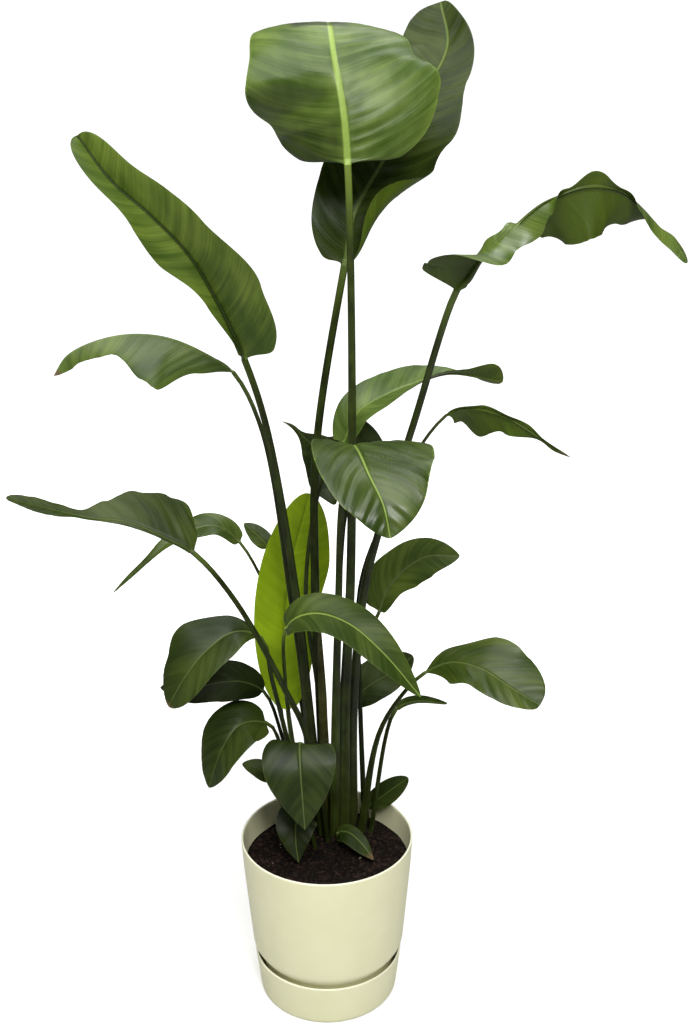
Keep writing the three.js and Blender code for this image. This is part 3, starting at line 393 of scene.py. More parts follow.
class LeafForm:
    """Gives the place of every point of one leaf's surface."""

    def __init__(self, leaf, seed):
        self.leaf = leaf
        self.spine = Spine(leaf)
        self.slant, self.pleat, self.spacing = leaf["veins"]
        self.seed = seed * SEED_STEP
        size, fewest, most = COLUMN_CELLS
        self.half = int(clamp(max(leaf["halves"]) / size + 2 * RIB_COLUMNS, fewest, most))
        size, fewest, most = BLADE_CELLS
        self.blade_rows = int(clamp(self.spine.blade / size, fewest, most))
        size, fewest, most = STALK_CELLS
        self.stalk_rows = int(clamp(self.spine.stalk / size, fewest, most))

    def width(self, t, right):
        """Reach in mm of one half."""
        base, tip = self.leaf["form"]
        widest = base / (base + tip)
        if t <= 0 or t >= 1:
            return 0.0
        full = (t / widest) ** base * ((1 - t) / (1 - widest)) ** tip
        swell = setting_at(self.leaf["swell"][right], t)
        return self.leaf["halves"][right] * full * swell

    def rib(self, t):
        """Half-width and depth of the rib under the blade."""
        neck = self.leaf["stalk"][2]
        half = blend(neck * RIB_AT_COLLAR[0], RIB_AT_TIP[0], t ** 0.7)
        depth = blend(neck * RIB_AT_COLLAR[1], RIB_AT_TIP[1], t ** 0.6)
        return half, depth * smooth((1 - t) / (2 * TIP_THINNING))

    def stalk_point(self, station, angle, length):
        """A point round the stalk; angle is 90 degrees on the grooved upper side."""
        point, _, face, side = station
        width, depth, neck = self.leaf["stalk"]
        swell = max(0.0, 1 - length / self.spine.stalk) ** SHEATH_TAPER
        groove = 1 - GROOVE_DEPTH * smooth((math.degrees(angle) - GROOVE_START) / GROOVE_WIDTH)
        return (
            point
            + side * (math.cos(angle) * blend(neck, width, swell) / 2)
            + face * (math.sin(angle) * blend(neck, depth, swell) / 2 * groove)
        )

    def blade_point(self, station, t, sign, reach):
        """A point of the blade's upper face, the way that the face looks there, and its side vein."""
        point, along, face, side = station
        right = 1 if sign > 0 else 0
        width = self.width(t, right)
        rise = math.radians(setting_at(self.leaf["lift"][right], t))
        bend = math.radians(setting_at(self.leaf["curl"][right], t))
        slope = rise + bend * reach ** 2
        away, up = bent_half(rise, bend, reach)
        height, count = self.leaf["wave"]
        phase = 2 * math.pi * count * t + right * WAVE_SHIFT
        ripple = height * reach ** 2 * math.sin(phase) * math.sin(math.pi * t)
        lobe = self.leaf["halves"][right] * self.leaf["lobe"][right]
        back = lobe * reach ** LOBE_BEND * (1 - t) ** LOBE_FADE * smooth(t / LOBE_START)
        out = width * reach
        vein = self.vein(t, out, width)
        ripple += self.pleats(vein, out, sign) * smooth(out / PLEAT_START) * (1 - PLEAT_LOSS * reach)
        spot = (
            point
            + side * (sign * away * width)
            + face * (up * width + ripple)
            - along * back
        )
        return spot, face * math.cos(slope) - side * (sign * math.sin(slope)), vein

    def vein(self, t, out, width):
        """How far along the rib the side vein through this point starts, in mm."""
        lean = self.slant * out + VEIN_BEND * out * out / max(width, 1.0)
        return self.spine.blade * t - lean

    def pleats(self, vein, out, sign):
        """Height in mm of the soft pleats between the side veins."""
        height = 0.0
        for finer, length, seed, strength in PLEATS:
            spot = Vector((vein / self.spacing * finer, out / length, self.seed + seed + sign))
            height += noise.noise(spot) * strength
        return self.pleat * height

    def row(self, length):
        """One ring of the surface: its points, and what the two maps say there."""
        station = self.spine.frame(length)
        t = (length - self.spine.stalk) / self.spine.blade
        joined = smooth(t / COLLAR_LENGTH) if t > 0 else 0.0
        neck = self.leaf["stalk"][2]
        half, ribs = self.half, RIB_COLUMNS
        ring = []
        for column in range(4 * half + 1):
            under = column > 2 * half
            across = 3 - column / half if under else column / half - 1
            sign = 1 if across > 0 else -1
            steps = round(abs(across) * half)
            if steps <= ribs:
                turn, wing, share = RIB_TURN * steps / ribs, 0.0, RIB_SHARE * steps / ribs
            else:
                wing = (steps - ribs) / (half - ribs)
                turn, share = RIB_TURN + (90 - RIB_TURN) * wing, blend(RIB_SHARE, 1, wing)
            angle = math.radians(90 - turn)
            if under and steps < half:
                angle = -angle
            stem = None
            if joined < 1:
                point, along, face, side = station
                stem = self.stalk_point((point, along, face, side * sign), angle, length)
            if joined > 0:
                spot, vein = self.blade_spot(station, t, sign, steps, wing, under)
                if stem is not None:
                    spot = spot.lerp(stem, 1 - joined)
                out = abs((spot - station[0]).dot(station[3]))
            else:
                spot, vein = stem, length - self.spine.stalk
                out = neck / 2 * steps / half
            ring.append((spot, out * sign, vein, share))
        return ring, t

    def blade_spot(self, station, t, sign, steps, wing, under):
        """A point of the blade's upper or under face or of its rib, and its side vein."""
        rib_half, rib_depth = self.rib(t)
        right = 1 if sign > 0 else 0
        width = max(self.width(t, right), 0.001)
        rib_half = min(rib_half, width * RIB_MOST)
        thick = BLADE_THICKNESS * smooth((1 - t) / TIP_THINNING + 0.1)
        if steps <= RIB_COLUMNS:
            turn = math.radians(90 * steps / RIB_COLUMNS)
            out = rib_half * math.sin(turn)
            spot, normal, vein = self.blade_point(station, t, sign, out / width)
            if under:
                spot -= normal * (thick + rib_depth * math.cos(turn))
            else:
                spot -= normal * (rib_half * RIB_SINK * math.cos(turn) ** 2)
            return spot, vein
        out = blend(rib_half, width, wing)
        spot, normal, vein = self.blade_point(station, t, sign, out / width)
        thin = 1 - EDGE_LOSS * smooth((wing - EDGE_START) / EDGE_WIDTH)
        if wing == 1:
            spot -= normal * (thick * thin / 2)
        elif under:
            spot -= normal * (thick * thin)
        return spot, vein

    def rows(self):
        """Every ring of the leaf, from its foot to its tip."""
        stalk, blade = self.stalk_rows, self.blade_rows
        lengths = [self.spine.stalk * step / stalk for step in range(stalk + 1)]
        for step in range(1, blade + 1):
            even = step / blade
            t = blend(even, (1 - math.cos(math.pi * even)) / 2, CELL_CROWDING)
            lengths.append(self.spine.stalk + self.spine.blade * min(t, BLADE_END))
        return [self.row(length) for length in lengths]


def leaf_piece(name, leaf, seed):
    """A sheet of cells wrapped round the leaf, its foot closed and its tip drawn together."""
    form = LeafForm(leaf, seed)
    rows = form.rows()
    columns, last = 4 * form.half, len(rows) - 1
    bm = bmesh.new()
    blade_map = bm.loops.layers.uv.new("blade")
    place_map = bm.loops.layers.uv.new("place")
    bmesh.ops.create_grid(bm, x_segments=columns, y_segments=last, size=0.5)
    cells = {}
    for vert in bm.verts:
        cells[vert] = round((vert.co.x + 0.5) * columns), round((vert.co.y + 0.5) * last)
    for face in bm.faces:
        under = min(cells[v][0] for v in face.verts) >= 2 * form.half
        for loop in face.loops:
            column, row = cells[loop.vert]
            ring, t = rows[row]
            _, out, vein, share = ring[column]
            loop[blade_map].uv = out * MM, vein * MM
            stage = t if t > 0 else t * form.spine.blade / form.spine.stalk
            loop[place_map].uv = (-1 - share if under else 1 + share), stage
    margin = {0, 2 * form.half, columns}
    for edge in bm.edges:
        a, b = (cells[v] for v in edge.verts)
        edge.smooth = not (a[0] == b[0] and a[0] in margin and rows[min(a[1], b[1])][1] > 0)
    for vert, (column, row) in cells.items():
        vert.co = rows[row][0][column][0] * MM
    tip = [v for v in bm.verts if cells[v][1] == last]
    middle = sum((v.co for v in tip), Vector()) / len(tip)
    bmesh.ops.pointmerge(bm, verts=tip, merge_co=middle)
    bmesh.ops.remove_doubles(bm, verts=bm.verts, dist=SAME_PLACE)
    bmesh.ops.holes_fill(bm, edges=bm.edges, sides=0)
    bmesh.ops.dissolve_degenerate(bm, dist=SAME_PLACE / 10, edges=bm.edges)
    bmesh.ops.recalc_face_normals(bm, faces=bm.faces)
    for face in bm.faces:
        face.smooth = True
    return finished(bm, name + "_leaf")


def finished(bm, name):
    """Turns a worked mesh into an object of that name."""
    mesh = bpy.data.meshes.new(name)
    bm.to_mesh(mesh)
    bm.free()
    return placed(name, mesh)


def placed(name, data):
    """Puts an object with that data into the scene."""
    thing = bpy.data.objects.new(name, data)
    bpy.context.scene.collection.objects.link(thing)
    return thing


# ---- materials
NOISE_MIDDLE = 0.5


class Wire:
    """An output socket of a material, so that its maths reads as arithmetic."""

    def __init__(self, recipe, socket):
        self.recipe = recipe
        self.socket = socket

    def sum(self, operation, *values):
        inputs = dict(enumerate(values))
        return self.recipe.node("ShaderNodeMath", {"operation": operation}, inputs)

    def __add__(self, other):
        return self.sum("ADD", self, other)

    def __sub__(self, other):
        return self.sum("SUBTRACT", self, other)

    def __rsub__(self, other):
        return self.sum("SUBTRACT", other, self)

    def __mul__(self, other):
        return self.sum("MULTIPLY", self, other)

    def __truediv__(self, other):
        return self.sum("DIVIDE", self, other)

    def __abs__(self):
        return self.sum("ABSOLUTE", self)

    def __lt__(self, other):
        return self.sum("LESS_THAN", self, other)

    def __gt__(self, other):
        return self.sum("GREATER_THAN", self, other)

    __radd__ = __add__
    __rmul__ = __mul__

    def rise(self, low, high, start=0.0, end=1.0):
        """Eases from start to end while this goes from low to high."""
        settings = {"interpolation_type": "SMOOTHSTEP"}
        inputs = {0: self, 1: low, 2: high, 3: start, 4: end}
        return self.recipe.node("ShaderNodeMapRange", settings, inputs)


class Sheet:
    """The nodes of a material or of the room."""

    def __init__(self, owner):
        owner.use_nodes = True
        self.tree = owner.node_tree
        self.tree.nodes.clear()

    def node(self, kind, settings, inputs, output=0):
        made = self.tree.nodes.new(kind)
        for key, value in settings.items():
            setattr(made, key, value)
        for key, value in inputs.items():
            self.put(made.inputs[key], value)
        return None if output is None else Wire(self, made.outputs[output])

    def put(self, socket, value):
        if isinstance(value, Wire):
            self.tree.links.new(value.socket, socket)
        elif socket.type == "RGBA":
            socket.default_value = (*value, 1)
        else:
            socket.default_value = value

    def seen(self):
        """1 where the eye looks straight at it, 0 where it only lights something else."""
        return self.node("ShaderNodeLightPath", {}, {}, "Is Camera Ray")

    def parts(self, vector):
        split = self.node("ShaderNodeSeparateXYZ", {}, {0: vector})
        outputs = split.socket.node.outputs
        return [Wire(self, outputs[axis]) for axis in range(3)]


class Recipe(Sheet):
    """A procedural material round a Principled shader; constants go to its sockets."""

    def __init__(self, name, **constants):
        self.material = bpy.data.materials.new(name)
        super().__init__(self.material)
        surface = self.node("ShaderNodeBsdfPrincipled", {}, {})
        self.shader = surface.socket.node
        self.node("ShaderNodeOutputMaterial", {}, {"Surface": surface}, None)
        for socket, value in constants.items():
            self.feed(socket.replace("_", " "), value)

    def feed(self, socket, value):
        self.put(self.shader.inputs[socket], value)

    def map(self, name):
        """The two numbers of one of the piece's own maps."""
        return self.parts(self.node("ShaderNodeUVMap", {"uv_map": name}, {}))

    def place(self):
        return self.node("ShaderNodeTexCoord", {}, {}, "Object")

    def speckle(self, x, y, seed, detail):
        """A noise over two numbers, such as those of a map."""
        vector = self.node("ShaderNodeCombineXYZ", {}, {0: x, 1: y, 2: seed})
        return self.grain(vector, 1, detail, 0.5)

    def grain(self, vector, scale, detail, rough):
        inputs = {"Vector": vector, "Scale": scale, "Detail": detail, "Roughness": rough}
        return self.node("ShaderNodeTexNoise", {}, inputs)

    def swing(self, middle, *noises):
        """Swings round the middle by several noises, each with its strength."""
        total = middle
        for wire, strength in noises:
            total = (wire - NOISE_MIDDLE) * strength + total
        return total

    def mix(self, share, a, b):
        return self.node("ShaderNodeMix", {"data_type": "RGBA"}, {0: share, 6: a, 7: b}, 2)

    def tint(self, colour, factor):
        inputs = {"Vector": colour, "Scale": factor}
        return self.node("ShaderNodeVectorMath", {"operation": "SCALE"}, inputs)

    def bump(self, height, depth, strength):
        inputs = {"Height": height, "Distance": depth, "Strength": strength}
        self.feed("Normal", self.node("ShaderNodeBump", {}, inputs))


# Colours of a leaf: two greens of the upper face, the under face, the rib and the stalk.
TONES = {
    "light": dict(
        dark=(0.03, 0.062, 0.003), pale=(0.125, 0.185, 0.03), under=(0.105, 0.16, 0.01),
        rib=(0.26, 0.37, 0.07), stem=(0.026, 0.038, 0.005),
    ),
    "mid": dict(
        dark=(0.022, 0.044, 0.003), pale=(0.09, 0.13, 0.015), under=(0.065, 0.105, 0.006),
        rib=(0.12, 0.17, 0.04), stem=(0.018, 0.026, 0.0035),
    ),
    "deep": dict(
        dark=(0.011, 0.022, 0.002), pale=(0.048, 0.07, 0.009), under=(0.04, 0.065, 0.005),
        rib=(0.09, 0.12, 0.035), stem=(0.013, 0.019, 0.003),
    ),
    "lime": dict(
        dark=(0.21, 0.33, 0.0005), pale=(0.33, 0.49, 0.002), under=(0.15, 0.23, 0.006),
        rib=(0.12, 0.19, 0.008), stem=(0.1, 0.155, 0.012),
    ),
    "dry": dict(
        dark=(0.028, 0.03, 0.004), pale=(0.085, 0.085, 0.018), under=(0.07, 0.065, 0.014),
        rib=(0.06, 0.055, 0.012), stem=(0.055, 0.055, 0.01),
    ),
}
FOOT_PALE = (0.045, 0.055, 0.012)
DRY_TIP = (0.11, 0.075, 0.03)
UNDER_RANGE = (0.75, 1.3)  # darkest and palest under face, as shares of its colour
STEM_RANGE = (0.45, 1.5)
PAINTED_RIB_SHADE = 0.55  # what is left of the dark green in a rib painted darker than the blade, as painted shade of a thick rib against the light
MARGIN_PALE = 1.15
PAINTED_SHADE_EDGE = 0.012  # metres over which a patch of painted shade ends sideways

# Noises of a leaf: repeats per metre along the rib and across it, seed and detail.
BANDS = (85, 7, 0, 2)
STREAKS = (420, 14, 0, 2)
PATCHES = (13, 15, 3, 3)
LINES = (30, 650, 0, 2)


def times(colour, factor):
    return tuple(part * factor for part in colour)


def leaf_finish(name, leaf, seed):
    """Leathery leaf with side veins, a rib, a pale margin, a duller under face and a streaked stalk."""
    tone = TONES[leaf["tone"]]
    gloss, shade, shine = leaf["gloss"], leaf["shade"], leaf["shine"]
    m = Recipe(name + "_green", Specular_IOR_Level=0.1 + 0.2 * shine, Coat_Roughness=gloss)
    across, stage, _ = m.map("place")
    out, vein, _ = m.map("blade")
    bands, streaks, patches, lines = (
        m.speckle(vein * along, out * sideways, seed + shift, detail)
        for along, sideways, shift, detail in (BANDS, STREAKS, PATCHES, LINES)
    )
    under = across < 0
    on_blade = stage > 0

    light = m.swing(0.42, (bands, 0.8), (patches, 1.7), (streaks, 0.6)).rise(0, 1)
    # Shade and below scale the greens: partly the leaf's own tone, partly painted light and shade of where it
    # sits.
    upper = m.mix(light, times(tone["dark"], shade), times(tone["pale"], shade))
    below = leaf["below"]
    lower = m.mix(light, *(times(tone["under"], part * below) for part in UNDER_RANGE))
    skin = m.mix(under, upper, lower)

    wide, narrow, clear = leaf["rib"]
    half = (wide - (wide - narrow) * stage) * MM
    line = m.swing(abs(out) / half, (streaks, 0.5)).rise(0.55, 1.15, 1, 0)
    # Painted shade: below nought the rib takes a darker green, standing for a thick rib that blocks the light
    # through the blade.
    rib = tone["rib"] if clear > 0 else times(tone["dark"], PAINTED_RIB_SHADE)
    skin = m.mix(line * abs(clear), skin, m.mix(under, rib, times(tone["under"], below)))
    margin = (abs(across) - 1).rise(0.97, 0.995) * leaf["edge"]
    skin = m.mix(margin, skin, times(tone["rib"], MARGIN_PALE))
    # Painted shade: each listed patch is darkened where a crease or the curled far part of the blade lies in
    # shadow.
    for start, end, left, right, kept in leaf["painted_shade"]:
        lengthways = stage.rise(start - 0.01, start + 0.01) * stage.rise(end, end + 0.03, 1, 0)
        sideways = out.rise(left * MM, left * MM + PAINTED_SHADE_EDGE)
        sideways *= out.rise(right * MM - PAINTED_SHADE_EDGE, right * MM, 1, 0)
        skin = m.mix(lengthways * sideways, skin, m.tint(skin, kept))

    streaked = m.swing(0.5, (lines, 1.8)).rise(0, 1)
    stem = m.mix(streaked, *(times(tone["stem"], part) for part in STEM_RANGE))
    foot = stage.rise(-1.0, -0.78, 0.5, 0)
    stem = m.mix(foot, stem, FOOT_PALE)
    stem = m.mix(stage.rise(-0.1, 0.0, 0, 0.6), stem, m.mix(0.5, rib, tone["under"]))
    colour = m.mix(on_blade, stem, skin)
    dry = leaf["dry"]
    if dry:
        brown = m.swing(stage, (patches, 0.12)).rise(1 - dry * 2, 1 - dry * 0.6)
        colour = m.mix(brown, colour, DRY_TIP)
    m.feed("Base Color", colour)

    m.feed("Roughness", m.swing(gloss + 0.1, (bands, 0.3), (streaks, 0.14)))
    gleam = m.swing(0.5, (bands, 1.6), (patches, 1.4)).rise(0, 1, shine * 0.5, shine)
    m.feed("Coat Weight", gleam * (1 - under) * (on_blade * 0.8 + 0.2))
    relief = streaks * 0.8 * on_blade + lines * (1 - on_blade) * 0.7
    m.bump(relief, 0.6 * MM, 0.6)
    return m.material


CREAM = ((0.825, 0.812, 0.515), (0.86, 0.848, 0.555))
PAINTED_LIP_HIGHLIGHT = (0.93, 0.92, 0.72)


def plastic_finish(name, lip):
    """Satin moulded plastic with a trace of mottle, and a painted highlight along the lip at that height in
    mm.
    """
    m = Recipe(name, Specular_IOR_Level=0.5)
    place = m.place()
    cloud = m.grain(place, 14, 3, 0.6)
    fine = m.grain(place, 420, 2, 0.6)
    colour = m.mix(cloud.rise(0.3, 0.7), *CREAM)
    _, _, height = m.parts(place)
    # Painted highlight: the top of the rounded lip is paler, where the light from above catches it.
    edge = height.rise((lip - 2) * MM, (lip - 0.6) * MM)
    m.feed("Base Color", m.mix(edge, colour, PAINTED_LIP_HIGHLIGHT))
    m.feed("Roughness", cloud * 0.12 + fine * 0.06 + 0.34)
    m.bump(fine * 0.5 + cloud, 0.2 * MM, 0.25)
    return m.material


DAMP_SOIL = ((0.0015, 0.001, 0.0008), (0.010, 0.006, 0.004))
CLOD_SIZE = 0.006


def soil_finish():
    """Damp potting mix."""
    m = Recipe("damp_soil", Specular_IOR_Level=0.12)
    place = m.place()
    clods = m.grain(place, 1 / CLOD_SIZE, 4, 0.65)
    fine = m.grain(place, 6 / CLOD_SIZE, 2, 0.6)
    light = m.swing(0.4, (clods, 1.6), (fine, 0.9)).rise(0, 1)
    m.feed("Base Color", m.mix(light, *DAMP_SOIL))
    m.feed("Roughness", fine * 0.3 + 0.6)
    m.bump(clods + fine * 0.5, 2 * MM, 0.7)
    return m.material


PEAT, BARK, STONE = 0.0, 0.6, 1.0  # kinds of crumb, as the crumb map says them
CRUMB_COLOURS = (
    ((0.004, 0.0025, 0.002), (0.02, 0.011, 0.007)),
    ((0.006, 0.0035, 0.0025), (0.026, 0.013, 0.008)),
    ((0.16, 0.13, 0.09), (0.42, 0.38, 0.3)),
)


def crumb_finish():
    """Bark, peat and pale grains, each crumb with its own shade."""
    m = Recipe("soil_crumbs", Specular_IOR_Level=0.15)
    kind, shade, _ = m.map("crumb")
    peat, bark, stone = (m.mix(shade, *pair) for pair in CRUMB_COLOURS)
    colour = m.mix(kind > (PEAT + BARK) / 2, peat, bark)
    m.feed("Base Color", m.mix(kind > (BARK + STONE) / 2, colour, stone))
    rough = m.grain(m.place(), 900, 2, 0.6)
    m.feed("Roughness", rough * 0.3 + 0.55)
    m.bump(rough, 0.6 * MM, 0.6)
    return m.material


# ---- pot, saucer and soil
TURN_STEPS = 160

# Radius and height, from the middle of the underside up the outside and down the inside.
SAUCER_LINE = (
    (0, 0), (94, 0), (97, 0.3), (100.2, 1.6), (101.6, 3.6), (102.2, 7), (105.5, 34.3), (108.6, 61),
    (109, 64.2), (108.85, 65.3), (108.2, 65.95), (107.4, 66.05), (106.6, 65.8), (106.1, 65.1),
    (105.9, 64), (102.5, 34.3), (99.2, 9), (98.2, 5.2), (95.5, 3), (0, 3),
)
POT_LINE = (
    (0, 3.3), (82.5, 3.3), (84.6, 3.8), (86.5, 5.8), (98, 54), (98.8, 59.4), (100, 64.6),
    (102.1, 69.2), (105.1, 73.8), (108.6, 78.6), (111, 83.2), (112, 88), (117, 145), (122.6, 212),
    (124.7, 248), (125, 252.6), (124.9, 254), (124.3, 254.8), (123.6, 255.05), (122.9, 254.8),
    (122.2, 254), (121.9, 252.6), (121.7, 248), (119.6, 212), (114, 145), (109, 88), (108, 84),
    (105.7, 80), (102.4, 75.6), (99.3, 71), (97.1, 66), (95.8, 60.4), (95, 54), (83.6, 8),
    (82.4, 6.5), (0, 6.3),
)
WALL_UNDER_SOIL = slice(4, 13)  # points of the outer wall that the soil follows
SAUCER_LIP, POT_LIP = 66, 255
HOLES, HOLE_RING, HOLE_RADIUS, HOLE_HEIGHT, HOLE_DEPTH = 6, 55, 5, 4, 12
ROUND_EDGE = 50  # degrees up to which the drilled pot is shaded as smooth


def turned(bm, line):
    """Spins an outline in mm round the pot's axis into a closed body."""
    verts = [bm.verts.new((radius * MM, 0, height * MM)) for radius, height in line]
    edges = [bm.edges.new(pair) for pair in zip(verts, verts[1:])]
    bmesh.ops.spin(
        bm, geom=verts + edges, cent=(0, 0, 0), axis=(0, 0, 1), dvec=(0, 0, 0),
        angle=2 * math.pi, steps=TURN_STEPS, use_merge=True,
    )
    bmesh.ops.remove_doubles(bm, verts=bm.verts, dist=1e-6)
    bmesh.ops.recalc_face_normals(bm, faces=bm.faces)
    for face in bm.faces:
        face.smooth = True


def saucer_piece():
    bm = bmesh.new()
    turned(bm, SAUCER_LINE)
    return finished(bm, "cream_saucer")


def pot_piece():
    """The pot, with drain holes through its floor."""
    bm = bmesh.new()
    turned(bm, POT_LINE)
    pot = finished(bm, "cream_pot")
    bm = bmesh.new()
    radius = HOLE_RADIUS * MM
    for hole in range(HOLES):
        turn = 2 * math.pi * hole / HOLES
        centre = Vector((HOLE_RING * math.cos(turn), HOLE_RING * math.sin(turn), HOLE_HEIGHT)) * MM
        bmesh.ops.create_cone(
            bm, cap_ends=True, segments=32, radius1=radius, radius2=radius,
            depth=HOLE_DEPTH * MM, matrix=Matrix.Translation(centre),
        )
    drill = finished(bm, "drill")
    cut = pot.modifiers.new("drain holes", "BOOLEAN")
    cut.object, cut.operation, cut.solver = drill, "DIFFERENCE", "EXACT"
    view = bpy.context.evaluated_depsgraph_get()
    drilled = bpy.data.meshes.new_from_object(pot.evaluated_get(view))
    pot.modifiers.clear()
    pot.data = drilled
    drilled.name = "cream_pot"
    drilled.set_sharp_from_angle(angle=math.radians(ROUND_EDGE))
    bpy.data.objects.remove(drill)
    return pot


SOIL_LEVEL, SOIL_EDGE, SOIL_BOTTOM, SOIL_FOOT = 215, 118.9, 6.7, 79.6
SOIL_RINGS, BEHIND_WALL = 90, 3.5
MOUND = dict(height=11, x=12, y=58, spread=58)
SOIL_LUMPS = ((7, 3, 2.2), (2.6, 9, 1.1))  # size in mm, seed and height in mm
SOIL_EASE = 3  # mm from the wall over which the lumps grow


def soil_height(x, y):
    """Height of the soil in mm: level at the wall, heaped round the stalks, and lumpy."""
    far = math.hypot(x - MOUND["x"], y - MOUND["y"]) / MOUND["spread"]
    uneven = math.sin(x / 9 + 1) * math.cos(y / 11) + math.sin((x + y) / 17)
    return SOIL_LEVEL + MOUND["height"] * math.exp(-far * far) + 0.8 * uneven


def soil_piece():
    """The soil, as one body down to the pot's floor."""
    wall = [(radius - BEHIND_WALL, height) for radius, height in POT_LINE[WALL_UNDER_SOIL]]
    line = [(0, SOIL_BOTTOM), (SOIL_FOOT, SOIL_BOTTOM), *wall]
    line += [(SOIL_EDGE * (1 - step / SOIL_RINGS), SOIL_LEVEL) for step in range(SOIL_RINGS + 1)]
    bm = bmesh.new()
    turned(bm, line)
    for vert in bm.verts:
        if vert.co.z > (SOIL_LEVEL - 1) * MM:
            x, y = vert.co.x / MM, vert.co.y / MM
            lump = 0.0
            for size, seed, height in SOIL_LUMPS:
                lump += noise.noise(Vector((x / size, y / size, seed))) * height
            edge = smooth((SOIL_EDGE - math.hypot(x, y)) / SOIL_EASE)
            vert.co.z = (soil_height(x, y) + lump * edge) * MM
    return finished(bm, "potting_soil")


CRUMBS, CRUMB_SEED, CRUMB_SPREAD, CRUMB_SIZES, CRUMB_RISE = 2600, 12, 114, (1.1, 3.4), 0.2
PEAT_DRAW, BARK_DRAW = 0.55, 0.992  # draws below these give peat and bark, the rest are stones
BARK_SCALE, FINE_SCALE = 1.25, 0.8


def crumb_piece():
    """Crumbs of bark, peat and a few pale grains that lie on the soil."""
    pick = random.Random(CRUMB_SEED)
    bm = bmesh.new()
    crumb_map = bm.loops.layers.uv.new("crumb")
    for _ in range(CRUMBS):
        radius = CRUMB_SPREAD * math.sqrt(pick.random())
        turn = pick.random() * 2 * math.pi
        x, y = radius * math.cos(turn), radius * math.sin(turn)
        draw = pick.random()
        kind = PEAT if draw < PEAT_DRAW else BARK if draw < BARK_DRAW else STONE
        size = blend(*CRUMB_SIZES, pick.random() ** 2)
        size *= BARK_SCALE if kind == BARK else FINE_SCALE
        flat = Vector((pick.uniform(0.8, 1.5), pick.uniform(0.7, 1.1), pick.uniform(0.35, 0.8)))
        lean = Matrix.Rotation(pick.uniform(-0.7, 0.7), 4, "X")
        spin = Matrix.Rotation(pick.uniform(0, 6.3), 4, "Z")
        height = soil_height(x, y) + size * CRUMB_RISE
        place = Matrix.Translation(Vector((x, y, height)) * MM)
        shape = place @ (lean @ spin) @ Matrix.Diagonal((*(flat * size * MM), 1))
        made = bmesh.ops.create_icosphere(bm, subdivisions=1, radius=1, matrix=shape)["verts"]
        shade = pick.random()
        for vert in made:
            for loop in vert.link_loops:
                loop[crumb_map].uv = kind, shade
    return finished(bm, "soil_crumbs")


# ---- assembly
def settle(piece, slot, material, *nodes):
    """Gives a piece its finish and its body, and hides the CAD nodes that it stands for."""
    piece.data.materials.clear()
    piece.data.materials.append(material)
    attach(piece, "root")
    if nodes:
        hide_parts(*nodes)


settle(saucer_piece(), "cream_plastic", plastic_finish("saucer_plastic", SAUCER_LIP), "saucer")
settle(pot_piece(), "cream_plastic", plastic_finish("pot_plastic", POT_LIP), "pot")
settle(soil_piece(), "potting_soil", soil_finish(), "soil")
settle(crumb_piece(), "potting_soil", crumb_finish())

SLOTS = {"lime": "leaf_lime", "dry": "sheath_brown"}
for number, (node, leaf) in enumerate(LEAVES.items()):
    name, leaf = node.replace("leaf_", ""), {**USUAL_LEAF, **leaf}
    slot = SLOTS.get(leaf["tone"], "leaf_green")
    settle(leaf_piece(name, leaf, number), slot, leaf_finish(name, leaf, number), node)


# ---- floor, light and camera
FLOOR_RADIUS = 60
FLOOR_SEEN, FLOOR_BOUNCE = (0.9, 0.9, 0.89), (0.6, 0.6, 0.6)
ROOM_LIGHT, ROOM_SEEN = 0.18, 1.05  # brightness as a light, and as the eye sees it
# Round lights: name, place, what they shine at, diameter and power.
LIGHTS = (
    ("key", (-0.4, -0.9, 3.1), (0, 0, 0.8), 2.6, 85),
    ("front", (0.7, -2.4, 2.8), (0, 0, 0.4), 1.0, 60),
    ("top", (0.4, 0.9, 2.9), (0, 0, 0.8), 1.4, 20),
)
EYE = (0.031, -1.635, 1.335)
LOOKS_DOWN, ROLL = 19.56, -0.38  # degrees
PHOTO_HEIGHT, PHOTO_FOCUS = 1024, 1300  # pixels
SENSOR = 36


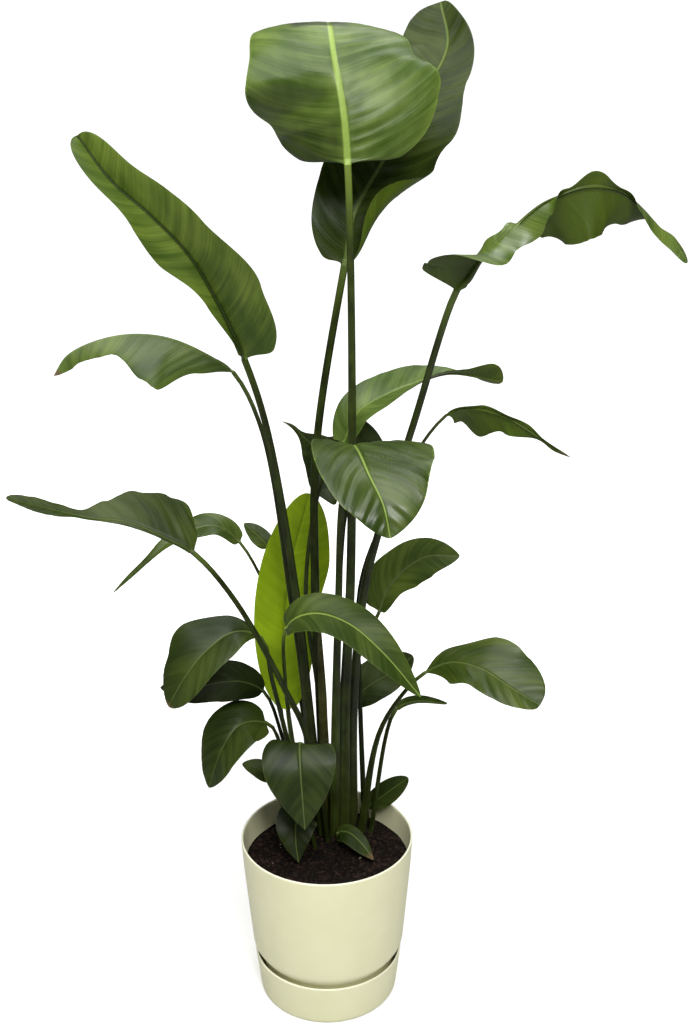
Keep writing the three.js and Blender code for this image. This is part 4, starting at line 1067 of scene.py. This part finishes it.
def studio_floor():
    """A pale floor that gets as white as the room farther out."""
    bm = bmesh.new()
    bmesh.ops.create_circle(bm, cap_ends=True, segments=64, radius=FLOOR_RADIUS)
    floor = finished(bm, "studio_floor")
    m = Recipe("white_floor", Roughness=0.9, Specular_IOR_Level=0.1, Emission_Strength=1)
    m.feed("Base Color", m.mix(m.seen(), FLOOR_BOUNCE, FLOOR_SEEN))
    x, y, _ = m.parts(m.place())
    glow = (x * x + y * y).rise(0.1, 2.0, 0.3, 1.0)
    m.feed("Emission Color", m.mix(glow * m.seen(), (0, 0, 0), (1, 1, 1)))
    floor.data.materials.append(m.material)


def soft_light(name, spot, aim, size, power):
    light = bpy.data.lights.new(name, "AREA")
    light.shape, light.size, light.energy = "DISK", size, power
    lamp = placed(name, light)
    lamp.location = spot
    lamp.rotation_euler = (Vector(aim) - Vector(spot)).to_track_quat("-Z", "Y").to_euler()


def white_room():
    """A room that looks white and lights the plant faintly."""
    world = bpy.data.worlds.new("white_room")
    sheet = Sheet(world)
    strength = sheet.seen() * (ROOM_SEEN - ROOM_LIGHT) + ROOM_LIGHT
    glow = sheet.node("ShaderNodeBackground", {}, {"Color": (1, 1, 1), "Strength": strength})
    sheet.node("ShaderNodeOutputWorld", {}, {"Surface": glow}, None)
    bpy.context.scene.world = world


def camera():
    """Stands where the photograph was taken from, and looks down on the pot."""
    down, roll = math.radians(LOOKS_DOWN), math.radians(ROLL)
    forward = Vector((0, math.cos(down), -math.sin(down)))
    level_up = Vector((0, math.sin(down), math.cos(down)))
    right = Vector((1, 0, 0)) * math.cos(roll) + level_up * math.sin(roll)
    turn = Matrix((right, right.cross(forward), -forward)).transposed().to_4x4()
    lens = bpy.data.cameras.new("camera")
    lens.sensor_width, lens.lens = SENSOR, SENSOR * PHOTO_FOCUS / PHOTO_HEIGHT
    eye = placed("camera", lens)
    eye.matrix_world = Matrix.Translation(EYE) @ turn
    bpy.context.scene.camera = eye


studio_floor()
for light in LIGHTS:
    soft_light(*light)
white_room()
camera()
bpy.context.scene.view_settings.view_transform = "Standard"
